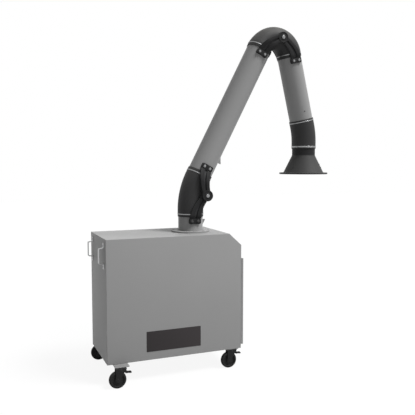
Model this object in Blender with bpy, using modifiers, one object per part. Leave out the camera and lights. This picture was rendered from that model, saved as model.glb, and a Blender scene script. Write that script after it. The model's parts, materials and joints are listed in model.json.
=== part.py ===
# A mobile electrostatic precipitator: a wheeled filter cabinet with an extraction arm on top.
# Metres, +Z up, the floor at Z = 0. X runs along the front, Y from the front to the back.
import bmesh
import bpy
from math import atan2, cos, hypot, pi, radians, sin, tan
from mathutils import Matrix, Vector

# Clearances
gap = 0.0003            # between pieces that touch
turn_gap = 0.0006       # between round pieces that turn in each other
facet_gap = 0.0012      # the same for wide rings, whose flat sides come closer
overrun = 0.006         # how far a cutter runs past what it cuts

# Cabinet
cabinet_width = 1.067
cabinet_depth = 0.538
cabinet_height = 0.914
cabinet_clearance = 0.1535      # floor to the underside of the cabinet
sheet = 0.002
chamfer_run = 0.102
chamfer_drop = 0.093

# Base frame under the cabinet
base_plate = 0.006
outrigger_width = 0.107         # along X
outrigger_reach = 0.066         # past the cabinet's front and back
outrigger_inset = 0.043         # from the cabinet's left side
right_plate_inset = 0.018       # from the cabinet's right side
right_plate_margin = 0.006      # inside the cabinet's front and back
base_rail_width = 0.050
base_rail_place = 0.150         # from the middle, front and back

# Casters
wheel_radius = 0.0635
wheel_width = 0.032
wheel_hub_width = 0.038
wheel_hub_radius = 0.022
wheel_rim_radius = 0.047
wheel_web = 0.014
tyre_shoulder = 0.006
caster_trail = 0.024
caster_out_left = 0.060         # wheel centre past the cabinet's front or back
caster_in_right = 0.028         # wheel centre inside the cabinet's front or back
fork_crown_length = 0.080
fork_crown_height = 0.014
fork_plate = 0.003
fork_inside = 0.040             # between the two cheeks
fork_foot_radius = 0.016
axle_radius = 0.005
kingpin_radius = 0.006
pedal_pivot_ahead = 0.034
pedal_pivot_drop = 0.034        # below the crown's top
pedal_pin_radius = 0.004
pedal_lug = 0.0055              # pin's middle to the lug's sides
pedal_start = 0.009             # pin's middle to the pedal's plate
pedal_width = 0.030
pedal_reach = 0.034
pedal_thick = 0.009
pedal_droop = radians(8)
pedal_ear = 0.004

# Arm
swivel_x = 0.2105               # from the cabinet's middle
duct_radius = 0.0975
duct_wall = 0.0015
flange_radius = 0.153
flange_thick = 0.012
collar_lip_width = 0.012
collar_lip_thick = 0.005
shoulder_height = 0.288         # pivot above the cabinet's top
pivot_side = 0.096              # pivot to the duct's axis
boom_length = 1.431             # shoulder pivot to elbow pivot
boom_lean = radians(27.5)
forearm_length = 0.812          # elbow pivot to hood pivot, along the duct
forearm_lean = radians(13.4)
collar_hose_reach = 0.168       # shoulder pivot down to the hose's end
boom_hose_reach = 0.157         # shoulder pivot up to the hose's end
shoulder_free = 0.115           # shoulder pivot to the start of the hose's bend
shoulder_duct_end = 0.124       # shoulder pivot to the ducts' ends
elbow_hose_reach = 0.165        # elbow pivot to the hose's ends
elbow_free = 0.127              # elbow pivot to the start of the hose's bend
elbow_duct_end = 0.137          # elbow pivot to the ducts' ends
elbow_pinch = 0.008             # how much the hose narrows in the elbow's bend
hose_wall = 0.0045
collar_band_place = 0.146       # shoulder pivot down to the clamp band
boom_band_place = 0.131         # shoulder pivot up to the clamp band
elbow_band_place = 0.139        # elbow pivot to the clamp bands
band_width = 0.008
band_thick = 0.0012
band_screw_length = 0.030
band_screw_height = 0.012
band_screw_turn = radians(52)   # of the screw towards the back

# Cast brackets that carry the two arm pivots
bracket_foot_place = 0.199      # pivot to the foot's middle, along the duct
bracket_foot_width = 0.094
bracket_foot_height = 0.042
bracket_foot_rise = 0.0015      # of the foot above the arm
bracket_thick = 0.0155          # over the boss
bracket_boss_radius = 0.044
bracket_boss_rise = 0.0025      # of the boss above the arm, on both sides
bracket_rim = 0.020
bracket_recess = 0.005
bracket_layer = 0.105           # duct axis to the inner bracket's inner face
bracket_sides = 18
outer_knee_shares = (0.10, 0.34)
inner_knee_shares = (0.16, 0.45)
pivot_bolt_radius = 0.009
pivot_head_radius = 0.014
pivot_head_height = 0.006
foot_bolt_spacing = 0.050
foot_bolt_radius = 0.008
foot_bolt_height = 0.005

# Stay lugs on the collar and on the boom
lug_thick = 0.005
collar_lug = (0.028, 0.055)     # reach from the duct, length along it
boom_lug = (0.032, 0.062)
collar_lug_place = 0.194        # below the shoulder pivot
boom_lug_place = 0.292          # above the shoulder pivot
lug_sink = 0.0008               # into the duct's wall

# Hood and its gimbal
hood_pivot_reach = 0.125        # pivot to the hose's end
hood_pivot_free = 0.085         # pivot to the ends of the duct and the hood's neck
hood_hose_free = 0.075          # pivot to the start of the hose's bend
hood_band_place = 0.109
hood_neck_length = 0.186        # pivot to the top of the cone
hood_cone_height = 0.145
hood_cone_radius = 0.170
hood_rim_radius = 0.204
hood_rim_thick = 0.009
hood_wall = 0.003
gimbal_radius = 0.078
gimbal_thick = 0.006
gimbal_height = 0.014
gimbal_pin_radius = 0.005
gimbal_strap_width = 0.028
gimbal_strap_thick = 0.004
gimbal_tab_width = 0.016
gimbal_tab_height = 0.014
gimbal_strap_clear = 0.0008

# Push handles on the left side
handle_strip = 0.005
handle_width = 0.032
handle_stand = 0.037            # face to the grip's middle
handle_inset = 0.070            # from the cabinet's front or back
handle_drop = 0.031             # below the cabinet's top
handle_foot = 0.038
handle_leg_run = 0.006
handle_height = 0.190

# Access door on the right side
door_low = 0.029                # above the cabinet's underside
door_drop = 0.201               # below the cabinet's top
door_margin = 0.007             # inside the cabinet's front and back
door_thick = 0.022
door_opening_margin = 0.024     # from the door's edge to the opening's
gasket_width = 0.012
gasket_place = 0.008            # from the door's edge
hinge_pin_radius = 0.0025
hinge_knuckle_radius = 0.0055
hinge_bore_gap = 0.0005
hinge_out = 0.0095              # pin out from the cabinet's side
hinge_leaf = 0.0016
hinge_leaf_width = 0.032
hinge_knuckle = 0.060
hinge_count = 3
hinge_end_gap = 0.0005
latch_inset = 0.060             # from the door's front edge
latch_from_end = 0.110          # from the door's top or bottom
latch_shaft_radius = 0.006
latch_disc_radius = 0.017
latch_disc_thick = 0.004
latch_wing = (0.012, 0.010, 0.046)
latch_cam = (0.003, 0.014, 0.046)
latch_cam_offset = 0.012

# Control panel on the chamfer
panel_length = 0.220            # along Y
panel_width = 0.066             # down the slope
panel_thick = 0.0155
switch_size = (0.028, 0.022, 0.010)
switch_pocket = 0.012
switch_clear = 0.003
switch_rest = radians(8)
switch_place = -0.050
switch_pin_radius = 0.0020
lamp_radius = 0.008
lamp_stem_radius = 0.005
lamp_height = 0.008
lamp_place = 0.050
lamp_stem = 0.010

# Power inlet at the back
inlet_x = -0.420
inlet_z = 0.120                 # above the cabinet's underside
inlet_radius = 0.012
inlet_nut_radius = 0.020
inlet_nut = 0.008
inlet_length = 0.030
inlet_bore = 0.006

# Filter compartment
partition_x = -0.060
bay_margin = 0.006
rack_thick = 0.002
rack_clear = 0.002              # inside the door's opening, at the sides
rack_end = 0.020                # from the door wall
ledge_width = 0.014
ledge_thick = 0.003
tray_side_gap = 0.002
tray_top_gap = 0.007            # above the top tray
tray_pull = (0.010, 0.110, 0.018)
tray_names = ("after_filter", "collector_cell", "ionizer", "prefilter")
tray_heights = (0.048, 0.140, 0.060, 0.048)
tray_spacing = 0.020            # between one tray and the next
tray_slots = (4, 10, 6, 5)
tray_frame = 0.022
tray_bar = 0.005
tray_tie = 0.020
rack_drop = 0.004               # below the door opening's top
rack_tie = 0.030

# Blower compartment
blower_x = -0.165
blower_z = 0.2065               # above the cabinet's underside
blower_width = 0.170
scroll_small = 0.160
scroll_large = 0.232
scroll_wall = 0.002
scroll_steps = 20
outlet_low = 0.075              # outlet's lower side above the fan's axis
cutoff_angle = radians(26)
blower_inlet_radius = 0.100
blower_foot = 0.030
shaft_hole_radius = 0.020
fan_radius = 0.142
fan_width = 0.110
fan_plate = 0.003
fan_ring_width = 0.030
fan_blades = 8
fan_blade_thick = 0.003
fan_blade_angle = radians(40)
fan_hub_radius = 0.022
fan_hub_length = 0.030
shaft_radius = 0.010
shaft_into_motor = 0.060
motor_radius = 0.075
motor_length = 0.190
motor_end_gap = 0.022           # fan housing to motor
motor_bell = 0.014
motor_foot = (0.120, 0.150, 0.014)
mount_wall = 0.004
power_pack_size = (0.110, 0.300, 0.160)
power_pack_drop = 0.194         # below the cabinet's top
fin_count = 5
fin_depth = 0.014
fin_width = 0.012
grille_margin = 0.020
grille_thick = 0.004
grille_slots = 6
grille_slot_share = 0.55

# Number of sides
duct_sides = 28
wheel_sides = 20
small_sides = 10
bolt_sides = 6

# Places worked out from the sizes above
cab_low = cabinet_clearance
cab_high = cab_low + cabinet_height
half_width = cabinet_width / 2
half_depth = cabinet_depth / 2
hose_radius = duct_radius + gap + hose_wall
elbow_turn = pi - boom_lean - forearm_lean
shoulder_z = cab_high + shoulder_height
elbow_x = swivel_x + pivot_side + boom_length * sin(boom_lean)
hood_x = elbow_x + pivot_side * cos(forearm_lean) + forearm_length * sin(forearm_lean)
reach_right = hood_x + hood_rim_radius
reach_left = half_width + handle_stand + handle_strip / 2
centre_shift = (reach_right - reach_left) / 2
fork_top = cab_low - gap - base_plate - gap
bracket_outer_layer = bracket_layer + bracket_thick + gap
chamfer_tilt = atan2(chamfer_drop, chamfer_run)
hinge_y = half_depth + gap + hinge_leaf / 2
hinge_x = half_width + hinge_out
door_front = -half_depth + door_margin
door_back = half_depth - door_margin
door_z0 = cab_low + door_low
door_z1 = cab_high - door_drop
fan_z = cab_low + blower_z
rack_out = min(-door_front, door_back) - door_opening_margin - rack_clear
rack_top = door_z1 - door_opening_margin - rack_drop
tray_lows = []
tray_top = rack_top - tray_top_gap
for height in reversed(tray_heights):
    tray_lows.insert(0, tray_top - height)
    tray_top -= height + tray_spacing

for old in list(bpy.data.objects):
    bpy.data.objects.remove(old, do_unlink=True)
parts = bpy.data.collections.new("electrostatic_precipitator")
cutters = bpy.data.collections.new("cutters")
bpy.context.scene.collection.children.link(parts)
bpy.context.scene.collection.children.link(cutters)


def make_material(name, colour, roughness, metallic):
    material = bpy.data.materials.new(name)
    material.use_nodes = True
    shader = material.node_tree.nodes["Principled BSDF"]
    shader.inputs["Base Color"].default_value = (*colour, 1.0)
    shader.inputs["Roughness"].default_value = roughness
    shader.inputs["Metallic"].default_value = metallic
    material.diffuse_color = (*colour, 1.0)
    return material


paint = make_material("grey_paint", (0.26, 0.26, 0.26), 0.45, 0.0)
steel = make_material("zinc_steel", (0.55, 0.56, 0.57), 0.35, 1.0)
cast = make_material("black_casting", (0.025, 0.025, 0.027), 0.5, 0.0)
hose_rubber = make_material("hose_rubber", (0.03, 0.03, 0.031), 0.6, 0.0)
hood_plastic = make_material("hood_plastic", (0.05, 0.05, 0.05), 0.5, 0.0)
caster_black = make_material("caster_black", (0.02, 0.02, 0.021), 0.5, 0.0)
tyre_black = make_material("tyre_black", (0.03, 0.03, 0.031), 0.7, 0.0)
aluminium = make_material("aluminium", (0.62, 0.63, 0.64), 0.3, 1.0)
motor_paint = make_material("motor_paint", (0.08, 0.10, 0.13), 0.5, 0.0)
seal_black = make_material("seal_black", (0.02, 0.02, 0.02), 0.8, 0.0)
lamp_green = make_material("lamp_green", (0.02, 0.45, 0.10), 0.2, 0.0)
switch_black = make_material("switch_black", (0.015, 0.015, 0.016), 0.35, 0.0)


def make_frame(name, parent=None, location=(0, 0, 0), turn=0.0):
    frame = bpy.data.objects.new(name, None)
    frame.empty_display_size = 0.05
    frame.location = location
    frame.rotation_euler = (0, turn, 0)
    frame.parent = parent
    parts.objects.link(frame)
    return frame


# A material makes a part of the object; none makes a helper that a Boolean reads.
def add_object(name, mesh, frame, material=None, location=(0, 0, 0)):
    thing = bpy.data.objects.new(name, mesh)
    thing.parent = frame
    thing.location = location
    if material is None:
        thing.hide_render = True
        thing.display_type = "WIRE"
        cutters.objects.link(thing)
    else:
        mesh.materials.append(material)
        parts.objects.link(thing)
    return thing


def shade_round(mesh):
    mesh.shade_smooth()
    mesh.set_sharp_from_angle(angle=radians(35))


def add_block(name, frame, low, high, material=None):
    low, high = Vector(low), Vector(high)
    shape = bmesh.new()
    bmesh.ops.create_cube(shape, size=1)
    bmesh.ops.scale(shape, vec=high - low, verts=shape.verts)
    mesh = bpy.data.meshes.new(name)
    shape.to_mesh(mesh)
    shape.free()
    return add_object(name, mesh, frame, material, (low + high) / 2)


def add_rod(name, frame, start, end, radius, material=None, sides=small_sides, end_radius=None):
    start, end = Vector(start), Vector(end)
    shape = bmesh.new()
    bmesh.ops.create_cone(shape, cap_ends=True, segments=sides, radius1=radius,
                          radius2=radius if end_radius is None else end_radius,
                          depth=(end - start).length)
    turn = (end - start).to_track_quat("Z", "Y").to_matrix().to_4x4()
    bmesh.ops.transform(shape, matrix=turn, verts=shape.verts)
    mesh = bpy.data.meshes.new(name)
    shape.to_mesh(mesh)
    shape.free()
    shade_round(mesh)
    return add_object(name, mesh, frame, material, (start + end) / 2)


# The profile is a list of (radius, height), down the outer side and up the inner side.
def add_turned(name, frame, profile, material=None, sides=duct_sides, location=(0, 0, 0),
               along="Z"):
    closed = all(radius > 0 for radius, height in profile)
    count = len(profile)
    edges = [(i, (i + 1) % count) for i in range(count if closed else count - 1)]
    mesh = bpy.data.meshes.new(name)
    mesh.from_pydata([(radius, 0, height) for radius, height in profile], edges, [])
    thing = add_object(name, mesh, frame, material, location)
    if along == "Y":
        thing.rotation_euler = (-pi / 2, 0, 0)
    if along == "X":
        thing.rotation_euler = (0, pi / 2, 0)
    screw = thing.modifiers.new("Screw", "SCREW")
    screw.steps = sides
    screw.render_steps = sides
    screw.use_merge_vertices = True
    screw.merge_threshold = 0.00001
    screw.use_smooth_shade = True
    return thing


def add_tube(name, frame, radius, wall, low, high, material=None, location=(0, 0, 0)):
    profile = [(radius, high), (radius, low), (radius - wall, low), (radius - wall, high)]
    return add_turned(name, frame, profile, material, location=location)


def mesh_from_curve(name, curve):
    thing = bpy.data.objects.new(name, curve)
    cutters.objects.link(thing)
    graph = bpy.context.evaluated_depsgraph_get()
    mesh = bpy.data.meshes.new_from_object(thing.evaluated_get(graph))
    bpy.data.objects.remove(thing, do_unlink=True)
    mesh.name = name
    shape = bmesh.new()
    shape.from_mesh(mesh)
    bmesh.ops.remove_doubles(shape, verts=shape.verts, dist=0.00001)
    shape.to_mesh(mesh)
    shape.free()
    return mesh


# A flat outline of (x, z) points, extruded along Y from front to back.
def add_plate(name, frame, outline, front, back, material=None):
    curve = bpy.data.curves.new(name, "CURVE")
    curve.dimensions = "2D"
    curve.fill_mode = "BOTH"
    curve.extrude = (back - front) / 2
    spline = curve.splines.new("POLY")
    spline.points.add(len(outline) - 1)
    for point, (x, z) in zip(spline.points, outline):
        point.co = (x, z, 0, 1)
    spline.use_cyclic_u = True
    mesh = mesh_from_curve(name, curve)
    mesh.transform(Matrix.Rotation(pi / 2, 4, "X"))
    mesh.transform(Matrix.Translation((0, (front + back) / 2, 0)))
    return add_object(name, mesh, frame, material)


# The same outline as (y, z) points, extruded along X.
def add_side_plate(name, frame, outline, left, right, material=None):
    thing = add_plate(name, frame, outline, left, right, material)
    thing.data.transform(Matrix.Rotation(pi / 2, 4, "Z"))
    thing.data.transform(Matrix.Scale(-1, 4, (1, 0, 0)))
    thing.data.flip_normals()
    return thing


def boolean(target, other, operation):
    modifier = target.modifiers.new(other.name, "BOOLEAN")
    modifier.operation = operation
    modifier.solver = "EXACT"
    modifier.object = other
    return target


def join(target, *others):
    for other in others:
        boolean(target, other, "UNION")
    return target


def cut(target, *others):
    for other in others:
        boolean(target, other, "DIFFERENCE")
    return target


# The middle line of a hose between two ducts whose axes pass a pivot at the distance side.
def bend_points(turn, side, free, reach, far_reach, steps):
    radius = side + free / tan(turn / 2)
    points = [(-side, -reach)]
    for i in range(steps + 1):
        angle = turn * i / steps
        points.append((-side + radius * (1 - cos(angle)), -free + radius * sin(angle)))
    x, z = points[-1]
    run = far_reach - free
    points.append((x + run * sin(turn), z + run * cos(turn)))
    return points


# The pinch narrows the hose in its bend, most at a quarter of it.
def add_hose(name, frame, points, pinch=0.0):
    curve = bpy.data.curves.new(name, "CURVE")
    curve.dimensions = "3D"
    curve.bevel_depth = hose_radius
    curve.bevel_resolution = duct_sides // 2 - 2
    curve.use_fill_caps = False
    spline = curve.splines.new("POLY")
    spline.points.add(len(points) - 1)
    last = len(points) - 3
    for i, (point, (x, z)) in enumerate(zip(spline.points, points)):
        share = min(max((i - 1) / last, 0), 1)
        point.co = (x, 0, z, 1)
        point.radius = 1 - pinch / hose_radius * sin(pi * share ** 0.5) ** 2
    mesh = mesh_from_curve(name, curve)
    shade_round(mesh)
    hose = add_object(name, mesh, frame, hose_rubber)
    wall = hose.modifiers.new("Solidify", "SOLIDIFY")
    wall.thickness = hose_wall
    wall.offset = -1
    wall.use_even_offset = True
    return hose


# A clamp band round a hose, its screw on the side away from the pivots, turned to the back.
def add_band(name, frame, x, z, screw_side):
    inner = hose_radius + gap
    outer = inner + band_thick
    band = add_tube(name, frame, outer, band_thick, -band_width / 2, band_width / 2, steel,
                    (x, 0, z))
    back = make_frame(name + "_back", frame, (x, 0, z))
    back.rotation_euler.z = pi / 2 - screw_side * (pi / 2 - band_screw_turn)
    screw = add_block(name + "_screw", back,
                      (outer - band_thick / 2, -band_screw_length / 2, -band_width / 2 + gap),
                      (outer + band_screw_height, band_screw_length / 2, band_width / 2 - gap))
    return join(band, screw)


root = make_frame("precipitator", location=(-centre_shift, 0, 0))


# CABINET
def cabinet_outline(inset):
    slope = hypot(1 / chamfer_run, 1 / chamfer_drop) * inset
    right = half_width - inset
    low, high = cab_low + inset, cab_high - inset
    corner_x, corner_z = half_width - chamfer_run, cab_high - chamfer_drop
    side_z = corner_z + chamfer_drop * (inset / chamfer_run - slope)
    top_x = corner_x + chamfer_run * (inset / chamfer_drop - slope)
    return [(-right, low), (right, low), (right, side_z), (top_x, high), (-right, high)]


outlet_high = scroll_large
exhaust_low = (blower_x - blower_width / 2 + scroll_wall, half_depth - sheet - overrun,
               fan_z + outlet_low)
exhaust_high = (blower_x + blower_width / 2 - scroll_wall, half_depth + overrun,
                fan_z + outlet_high - scroll_wall)


def make_cabinet():
    shell = add_plate("cabinet_shell", root, cabinet_outline(0), -half_depth, half_depth, paint)
    inside = add_plate("cabinet_inside", root, cabinet_outline(sheet), -half_depth + sheet,
                       half_depth - sheet)
    doorway = add_block("doorway", root,
                        (half_width - sheet - overrun, door_front + door_opening_margin,
                         door_z0 + door_opening_margin),
                        (half_width + overrun, door_back - door_opening_margin,
                         door_z1 - door_opening_margin))
    exhaust = add_block("exhaust_opening", root, exhaust_low, exhaust_high)
    inlet = add_rod("inlet_opening", root, (swivel_x, 0, cab_high - sheet - overrun),
                    (swivel_x, 0, cab_high + overrun), duct_radius - duct_wall, None, duct_sides)
    gland = add_rod("gland_opening", root, (inlet_x, half_depth - sheet - overrun,
                    cab_low + inlet_z), (inlet_x, half_depth + overrun, cab_low + inlet_z),
                    inlet_radius + sheet / 2)
    cut(shell, inside, doorway, exhaust, inlet, gland)


def make_base():
    top = cab_low - gap
    left = -half_width + outrigger_inset
    right = half_width - right_plate_inset
    out = half_depth + outrigger_reach
    within = half_depth - right_plate_margin
    frame = add_block("base_frame", root, (left, -out, top - base_plate),
                      (left + outrigger_width, out, top), paint)
    plate = add_block("right_plate", root, (right - outrigger_width, -within, top - base_plate),
                      (right, within, top))
    rails = [add_block("base_rail", root, (left, y - base_rail_width / 2, top - base_plate),
                       (right, y + base_rail_width / 2, top))
             for y in (-base_rail_place, base_rail_place)]
    join(frame, plate, *rails)
    for x, y, label in caster_places():
        cut(frame, add_rod("kingpin_hole", root, (x, y, top - base_plate - overrun),
                           (x, y, top + overrun), kingpin_radius + turn_gap))


# CASTERS
def caster_places():
    left_x = -half_width + outrigger_inset + outrigger_width / 2 - caster_trail / 2
    right_x = half_width - right_plate_inset - outrigger_width / 2
    left_y = half_depth + caster_out_left
    right_y = half_depth - caster_in_right
    return [(left_x, -left_y, "front_left"), (left_x, left_y, "back_left"),
            (right_x, -right_y, "front_right"), (right_x, right_y, "back_right")]


def make_caster(x, y, label):
    swivel = make_frame("caster_axis_" + label, root, (x, y, 0))
    crown_low = fork_top - fork_crown_height
    cheek_out = fork_inside / 2 + fork_plate
    fork = add_block("caster_fork_" + label, swivel, (-fork_crown_length / 2, -cheek_out,
                     crown_low), (fork_crown_length / 2, cheek_out, fork_top), caster_black)
    cheek = [(-fork_crown_length / 2, crown_low + fork_plate),
             (-caster_trail - fork_foot_radius, wheel_radius),
             (-caster_trail - fork_foot_radius / 2, wheel_radius - fork_foot_radius),
             (-caster_trail + fork_foot_radius / 2, wheel_radius - fork_foot_radius),
             (-caster_trail + fork_foot_radius, wheel_radius),
             (fork_crown_length / 4, crown_low - fork_crown_height),
             (fork_crown_length / 2, crown_low + fork_plate)]
    for front in (-cheek_out, cheek_out - fork_plate):
        join(fork, add_plate("fork_cheek", swivel, cheek, front, front + fork_plate))
    join(fork, add_rod("axle", swivel, (-caster_trail, -cheek_out + fork_plate / 2, wheel_radius),
                       (-caster_trail, cheek_out - fork_plate / 2, wheel_radius), axle_radius))
    join(fork, add_rod("kingpin", swivel, (0, 0, fork_top - fork_plate),
                       (0, 0, fork_top + base_plate), kingpin_radius))
    pivot_z = fork_top - pedal_pivot_drop
    ear_out = pedal_width / 2 - pedal_ear
    for side in (-1, 1):
        inner, outer = sorted((side * (ear_out - gap), side * (ear_out - gap - pedal_ear)))
        join(fork, add_block("pedal_lug", swivel,
                             (pedal_pivot_ahead - pedal_lug, inner, pivot_z - pedal_lug),
                             (pedal_pivot_ahead + pedal_lug, outer, crown_low + fork_plate)))
    join(fork, add_rod("pedal_pin", swivel, (pedal_pivot_ahead, -pedal_width / 2, pivot_z),
                       (pedal_pivot_ahead, pedal_width / 2, pivot_z), pedal_pin_radius))

    axle = make_frame("wheel_axis_" + label, swivel, (-caster_trail, 0, wheel_radius))
    half, hub = wheel_width / 2, wheel_hub_width / 2
    bore = axle_radius + turn_gap
    profile = [(bore, hub), (wheel_hub_radius, hub), (wheel_hub_radius, wheel_web / 2),
               (wheel_rim_radius, wheel_web / 2), (wheel_rim_radius, half),
               (wheel_radius - tyre_shoulder, half), (wheel_radius, half - tyre_shoulder)]
    profile = profile + [(radius, -height) for radius, height in reversed(profile)]
    add_turned("wheel_" + label, axle, profile, tyre_black, wheel_sides, along="Y")

    hinge = make_frame("pedal_axis_" + label, swivel, (pedal_pivot_ahead, 0, pivot_z),
                       pedal_droop)
    start = pedal_start
    pedal = add_block("brake_pedal_" + label, hinge, (start, -pedal_width / 2, -pedal_thick / 2),
                      (start + pedal_reach - pedal_thick, pedal_width / 2, pedal_thick / 2),
                      caster_black)
    tread = add_block("pedal_tread", hinge,
                      (start + pedal_reach - 3 * pedal_thick, -pedal_width / 2, 0),
                      (start + pedal_reach, pedal_width / 2, pedal_thick))
    join(pedal, tread)
    for side in (-1, 1):
        near, far = sorted((side * ear_out, side * pedal_width / 2))
        join(pedal, add_block("pedal_ear", hinge, (-pedal_lug, near, -pedal_lug),
                              (start + pedal_thick, far, pedal_lug)))
    cut(pedal, add_rod("pedal_bore", hinge, (0, -pedal_width, 0), (0, pedal_width, 0),
                       pedal_pin_radius + turn_gap))


# PUSH HANDLES
def make_handles():
    face = -half_width - gap
    top = cab_high - handle_drop
    low = top - handle_height
    out = -half_width - handle_stand
    grip = (out - handle_strip / 2, out + handle_strip / 2)
    outline = [(face, top), (face - handle_strip, top),
               (face - handle_strip, top - handle_foot + handle_strip),
               (grip[0], top - handle_foot + handle_strip - handle_leg_run),
               (grip[0], low + handle_foot - handle_strip + handle_leg_run),
               (face - handle_strip, low + handle_foot - handle_strip),
               (face - handle_strip, low), (face, low),
               (face, low + handle_foot),
               (grip[1], low + handle_foot + handle_leg_run),
               (grip[1], top - handle_foot - handle_leg_run),
               (face, top - handle_foot)]
    place = half_depth - handle_inset
    for name, y in (("push_handle_front", -place), ("push_handle_rear", place)):
        add_plate(name, root, outline, y - handle_width / 2, y + handle_width / 2, steel)


# ACCESS DOOR
def make_door():
    axis = make_frame("door_axis", root, (hinge_x, hinge_y, 0))
    x0, x1 = half_width + gap - hinge_x, half_width + door_thick - hinge_x
    y0, y1 = door_front - hinge_y, door_back - hinge_y
    door = add_block("access_door", axis, (x0, y0, door_z0), (x1, y1, door_z1), paint)
    cut(door, add_block("door_hollow", axis, (x0 - overrun, y0 + sheet, door_z0 + sheet),
                        (x1 - sheet, y1 - sheet, door_z1 - sheet)))
    edge = gasket_place
    gasket = add_block("door_gasket", axis, (x0, y0 + edge, door_z0 + edge),
                       (x1 - sheet - gap, y1 - edge, door_z1 - edge), seal_black)
    wide = edge + gasket_width
    cut(gasket, add_block("gasket_hollow", axis, (x0 - overrun, y0 + wide, door_z0 + wide),
                          (x1 + overrun, y1 - wide, door_z1 - wide)))

    pitch = (door_z1 - door_z0) / hinge_count
    middles = [door_z0 + pitch * (i + 0.5) for i in range(hinge_count)]
    leaf = add_block("door_hinge", axis, (-hinge_out - hinge_leaf_width, -hinge_leaf / 2,
                     door_z0 + sheet), (-hinge_knuckle_radius / 2, hinge_leaf / 2,
                     door_z1 - sheet), steel)
    for i, z in enumerate(middles):
        low, high = z - hinge_knuckle / 2, z + hinge_knuckle / 2
        cut(leaf, add_block("knuckle_gap", axis,
                            (-hinge_knuckle_radius - hinge_end_gap, -overrun,
                             low - hinge_end_gap),
                            (overrun, overrun, high + hinge_end_gap)))
        knuckle = add_rod("door_knuckle", axis, (0, 0, low), (0, 0, high), hinge_knuckle_radius)
        web = add_block("knuckle_web", axis, (-hinge_leaf / 2, y1 - sheet / 2, low),
                        (hinge_leaf / 2, 0, high))
        bore = add_rod("knuckle_bore", axis, (0, 0, low - overrun), (0, 0, high + overrun),
                       hinge_pin_radius + hinge_bore_gap)
        cut(join(door, web, knuckle), bore)
    ends = [door_z0 + sheet] + [z for m in middles for z in
                                (m - hinge_knuckle / 2 - hinge_end_gap,
                                 m + hinge_knuckle / 2 + hinge_end_gap)] + [door_z1 - sheet]
    for low, high in zip(ends[::2], ends[1::2]):
        join(leaf, add_rod("fixed_knuckle", axis, (0, 0, low), (0, 0, high),
                           hinge_knuckle_radius))
    join(leaf, add_rod("hinge_pin", axis, (0, 0, ends[0] + sheet), (0, 0, ends[-1] - sheet),
                       hinge_pin_radius))

    latch_y = door_front + latch_inset
    for name, z in (("door_latch_upper", door_z1 - latch_from_end),
                    ("door_latch_lower", door_z0 + latch_from_end)):
        cut(door, add_rod("latch_bore", axis, (x1 - 2 * sheet, latch_y - hinge_y, z),
                          (x1 + overrun, latch_y - hinge_y, z), latch_shaft_radius + turn_gap))
        turn = make_frame(name + "_axis", root, (half_width + door_thick, latch_y, z))
        cam_x = -door_thick - sheet - latch_cam_offset
        latch = add_rod(name, turn, (gap, 0, 0), (gap + latch_disc_thick, 0, 0),
                        latch_disc_radius, switch_black)
        wing_x, wing_y, wing_z = latch_wing
        cam_thick, cam_y, cam_z = latch_cam
        join(latch,
             add_rod("latch_shaft", turn, (cam_x + cam_thick / 2, 0, 0),
                     (latch_disc_thick / 2, 0, 0), latch_shaft_radius),
             add_block("latch_wing", turn, (gap + latch_disc_thick / 2, -wing_y / 2, -wing_z / 2),
                       (gap + latch_disc_thick + wing_x, wing_y / 2, wing_z / 2)),
             add_block("latch_cam", turn, (cam_x, -cam_y / 2, -cam_y / 2),
                       (cam_x + cam_thick, cam_y / 2, cam_z)))


# CONTROL PANEL
def make_panel():
    face = make_frame("panel_face", root, (half_width - chamfer_run / 2, 0,
                      cab_high - chamfer_drop / 2), chamfer_tilt)
    panel = add_block("control_panel", face, (-panel_width / 2, -panel_length / 2, gap),
                      (panel_width / 2, panel_length / 2, gap + panel_thick), switch_black)
    size_x, size_y, size_z = switch_size
    top = gap + panel_thick
    cut(panel,
        add_block("switch_pocket", face,
                  (-size_x / 2 - switch_clear, switch_place - size_y / 2 - gap,
                   top - switch_pocket),
                  (size_x / 2 + switch_clear, switch_place + size_y / 2 + gap, top + overrun)),
        add_rod("switch_pin_bore", face,
                (0, switch_place - size_y / 2 - lamp_radius, top - switch_pocket / 2),
                (0, switch_place + size_y / 2 + lamp_radius, top - switch_pocket / 2),
                switch_pin_radius + gap),
        add_rod("lamp_bore", face, (0, lamp_place, top - lamp_stem - gap),
                (0, lamp_place, top + overrun), lamp_stem_radius + gap))
    axis = make_frame("switch_axis", face, (0, switch_place, top - switch_pocket / 2),
                      -switch_rest)
    low = -switch_pocket / 2 + switch_clear
    switch = add_block("power_switch", axis, (-size_x / 2, -size_y / 2, low),
                       (size_x / 2, size_y / 2, low + size_z), switch_black)
    join(switch, add_rod("switch_pin", axis, (0, -size_y / 2 - lamp_radius / 2, 0),
                         (0, size_y / 2 + lamp_radius / 2, 0), switch_pin_radius))
    add_turned("pilot_lamp", face,
               [(0, lamp_height), (lamp_radius * 0.7, lamp_height * 0.7), (lamp_radius, gap),
                (lamp_stem_radius, gap), (lamp_stem_radius, -lamp_stem), (0, -lamp_stem)],
               lamp_green, small_sides, (0, lamp_place, top))


def make_power_inlet():
    y = half_depth
    add_turned("power_inlet", root,
               [(inlet_bore, inlet_length), (inlet_radius, inlet_length),
                (inlet_radius, inlet_nut), (inlet_nut_radius, inlet_nut),
                (inlet_nut_radius, gap), (inlet_radius, gap),
                (inlet_radius, -inlet_length / 2), (inlet_bore, -inlet_length / 2)],
               switch_black, small_sides, (inlet_x, y, cab_low + inlet_z), along="Y")


# FILTER COMPARTMENT
def make_partition():
    inside = half_depth - sheet - gap
    low, high = cab_low + sheet + gap, cab_high - sheet - gap
    partition = add_block("partition", root, (partition_x, -inside, low),
                          (partition_x + sheet, inside, high), steel)
    cut(partition, add_rod("partition_hole", root, (partition_x - overrun, 0, fan_z),
                           (partition_x + sheet + overrun, 0, fan_z),
                           blower_inlet_radius + turn_gap, None, duct_sides))


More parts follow.
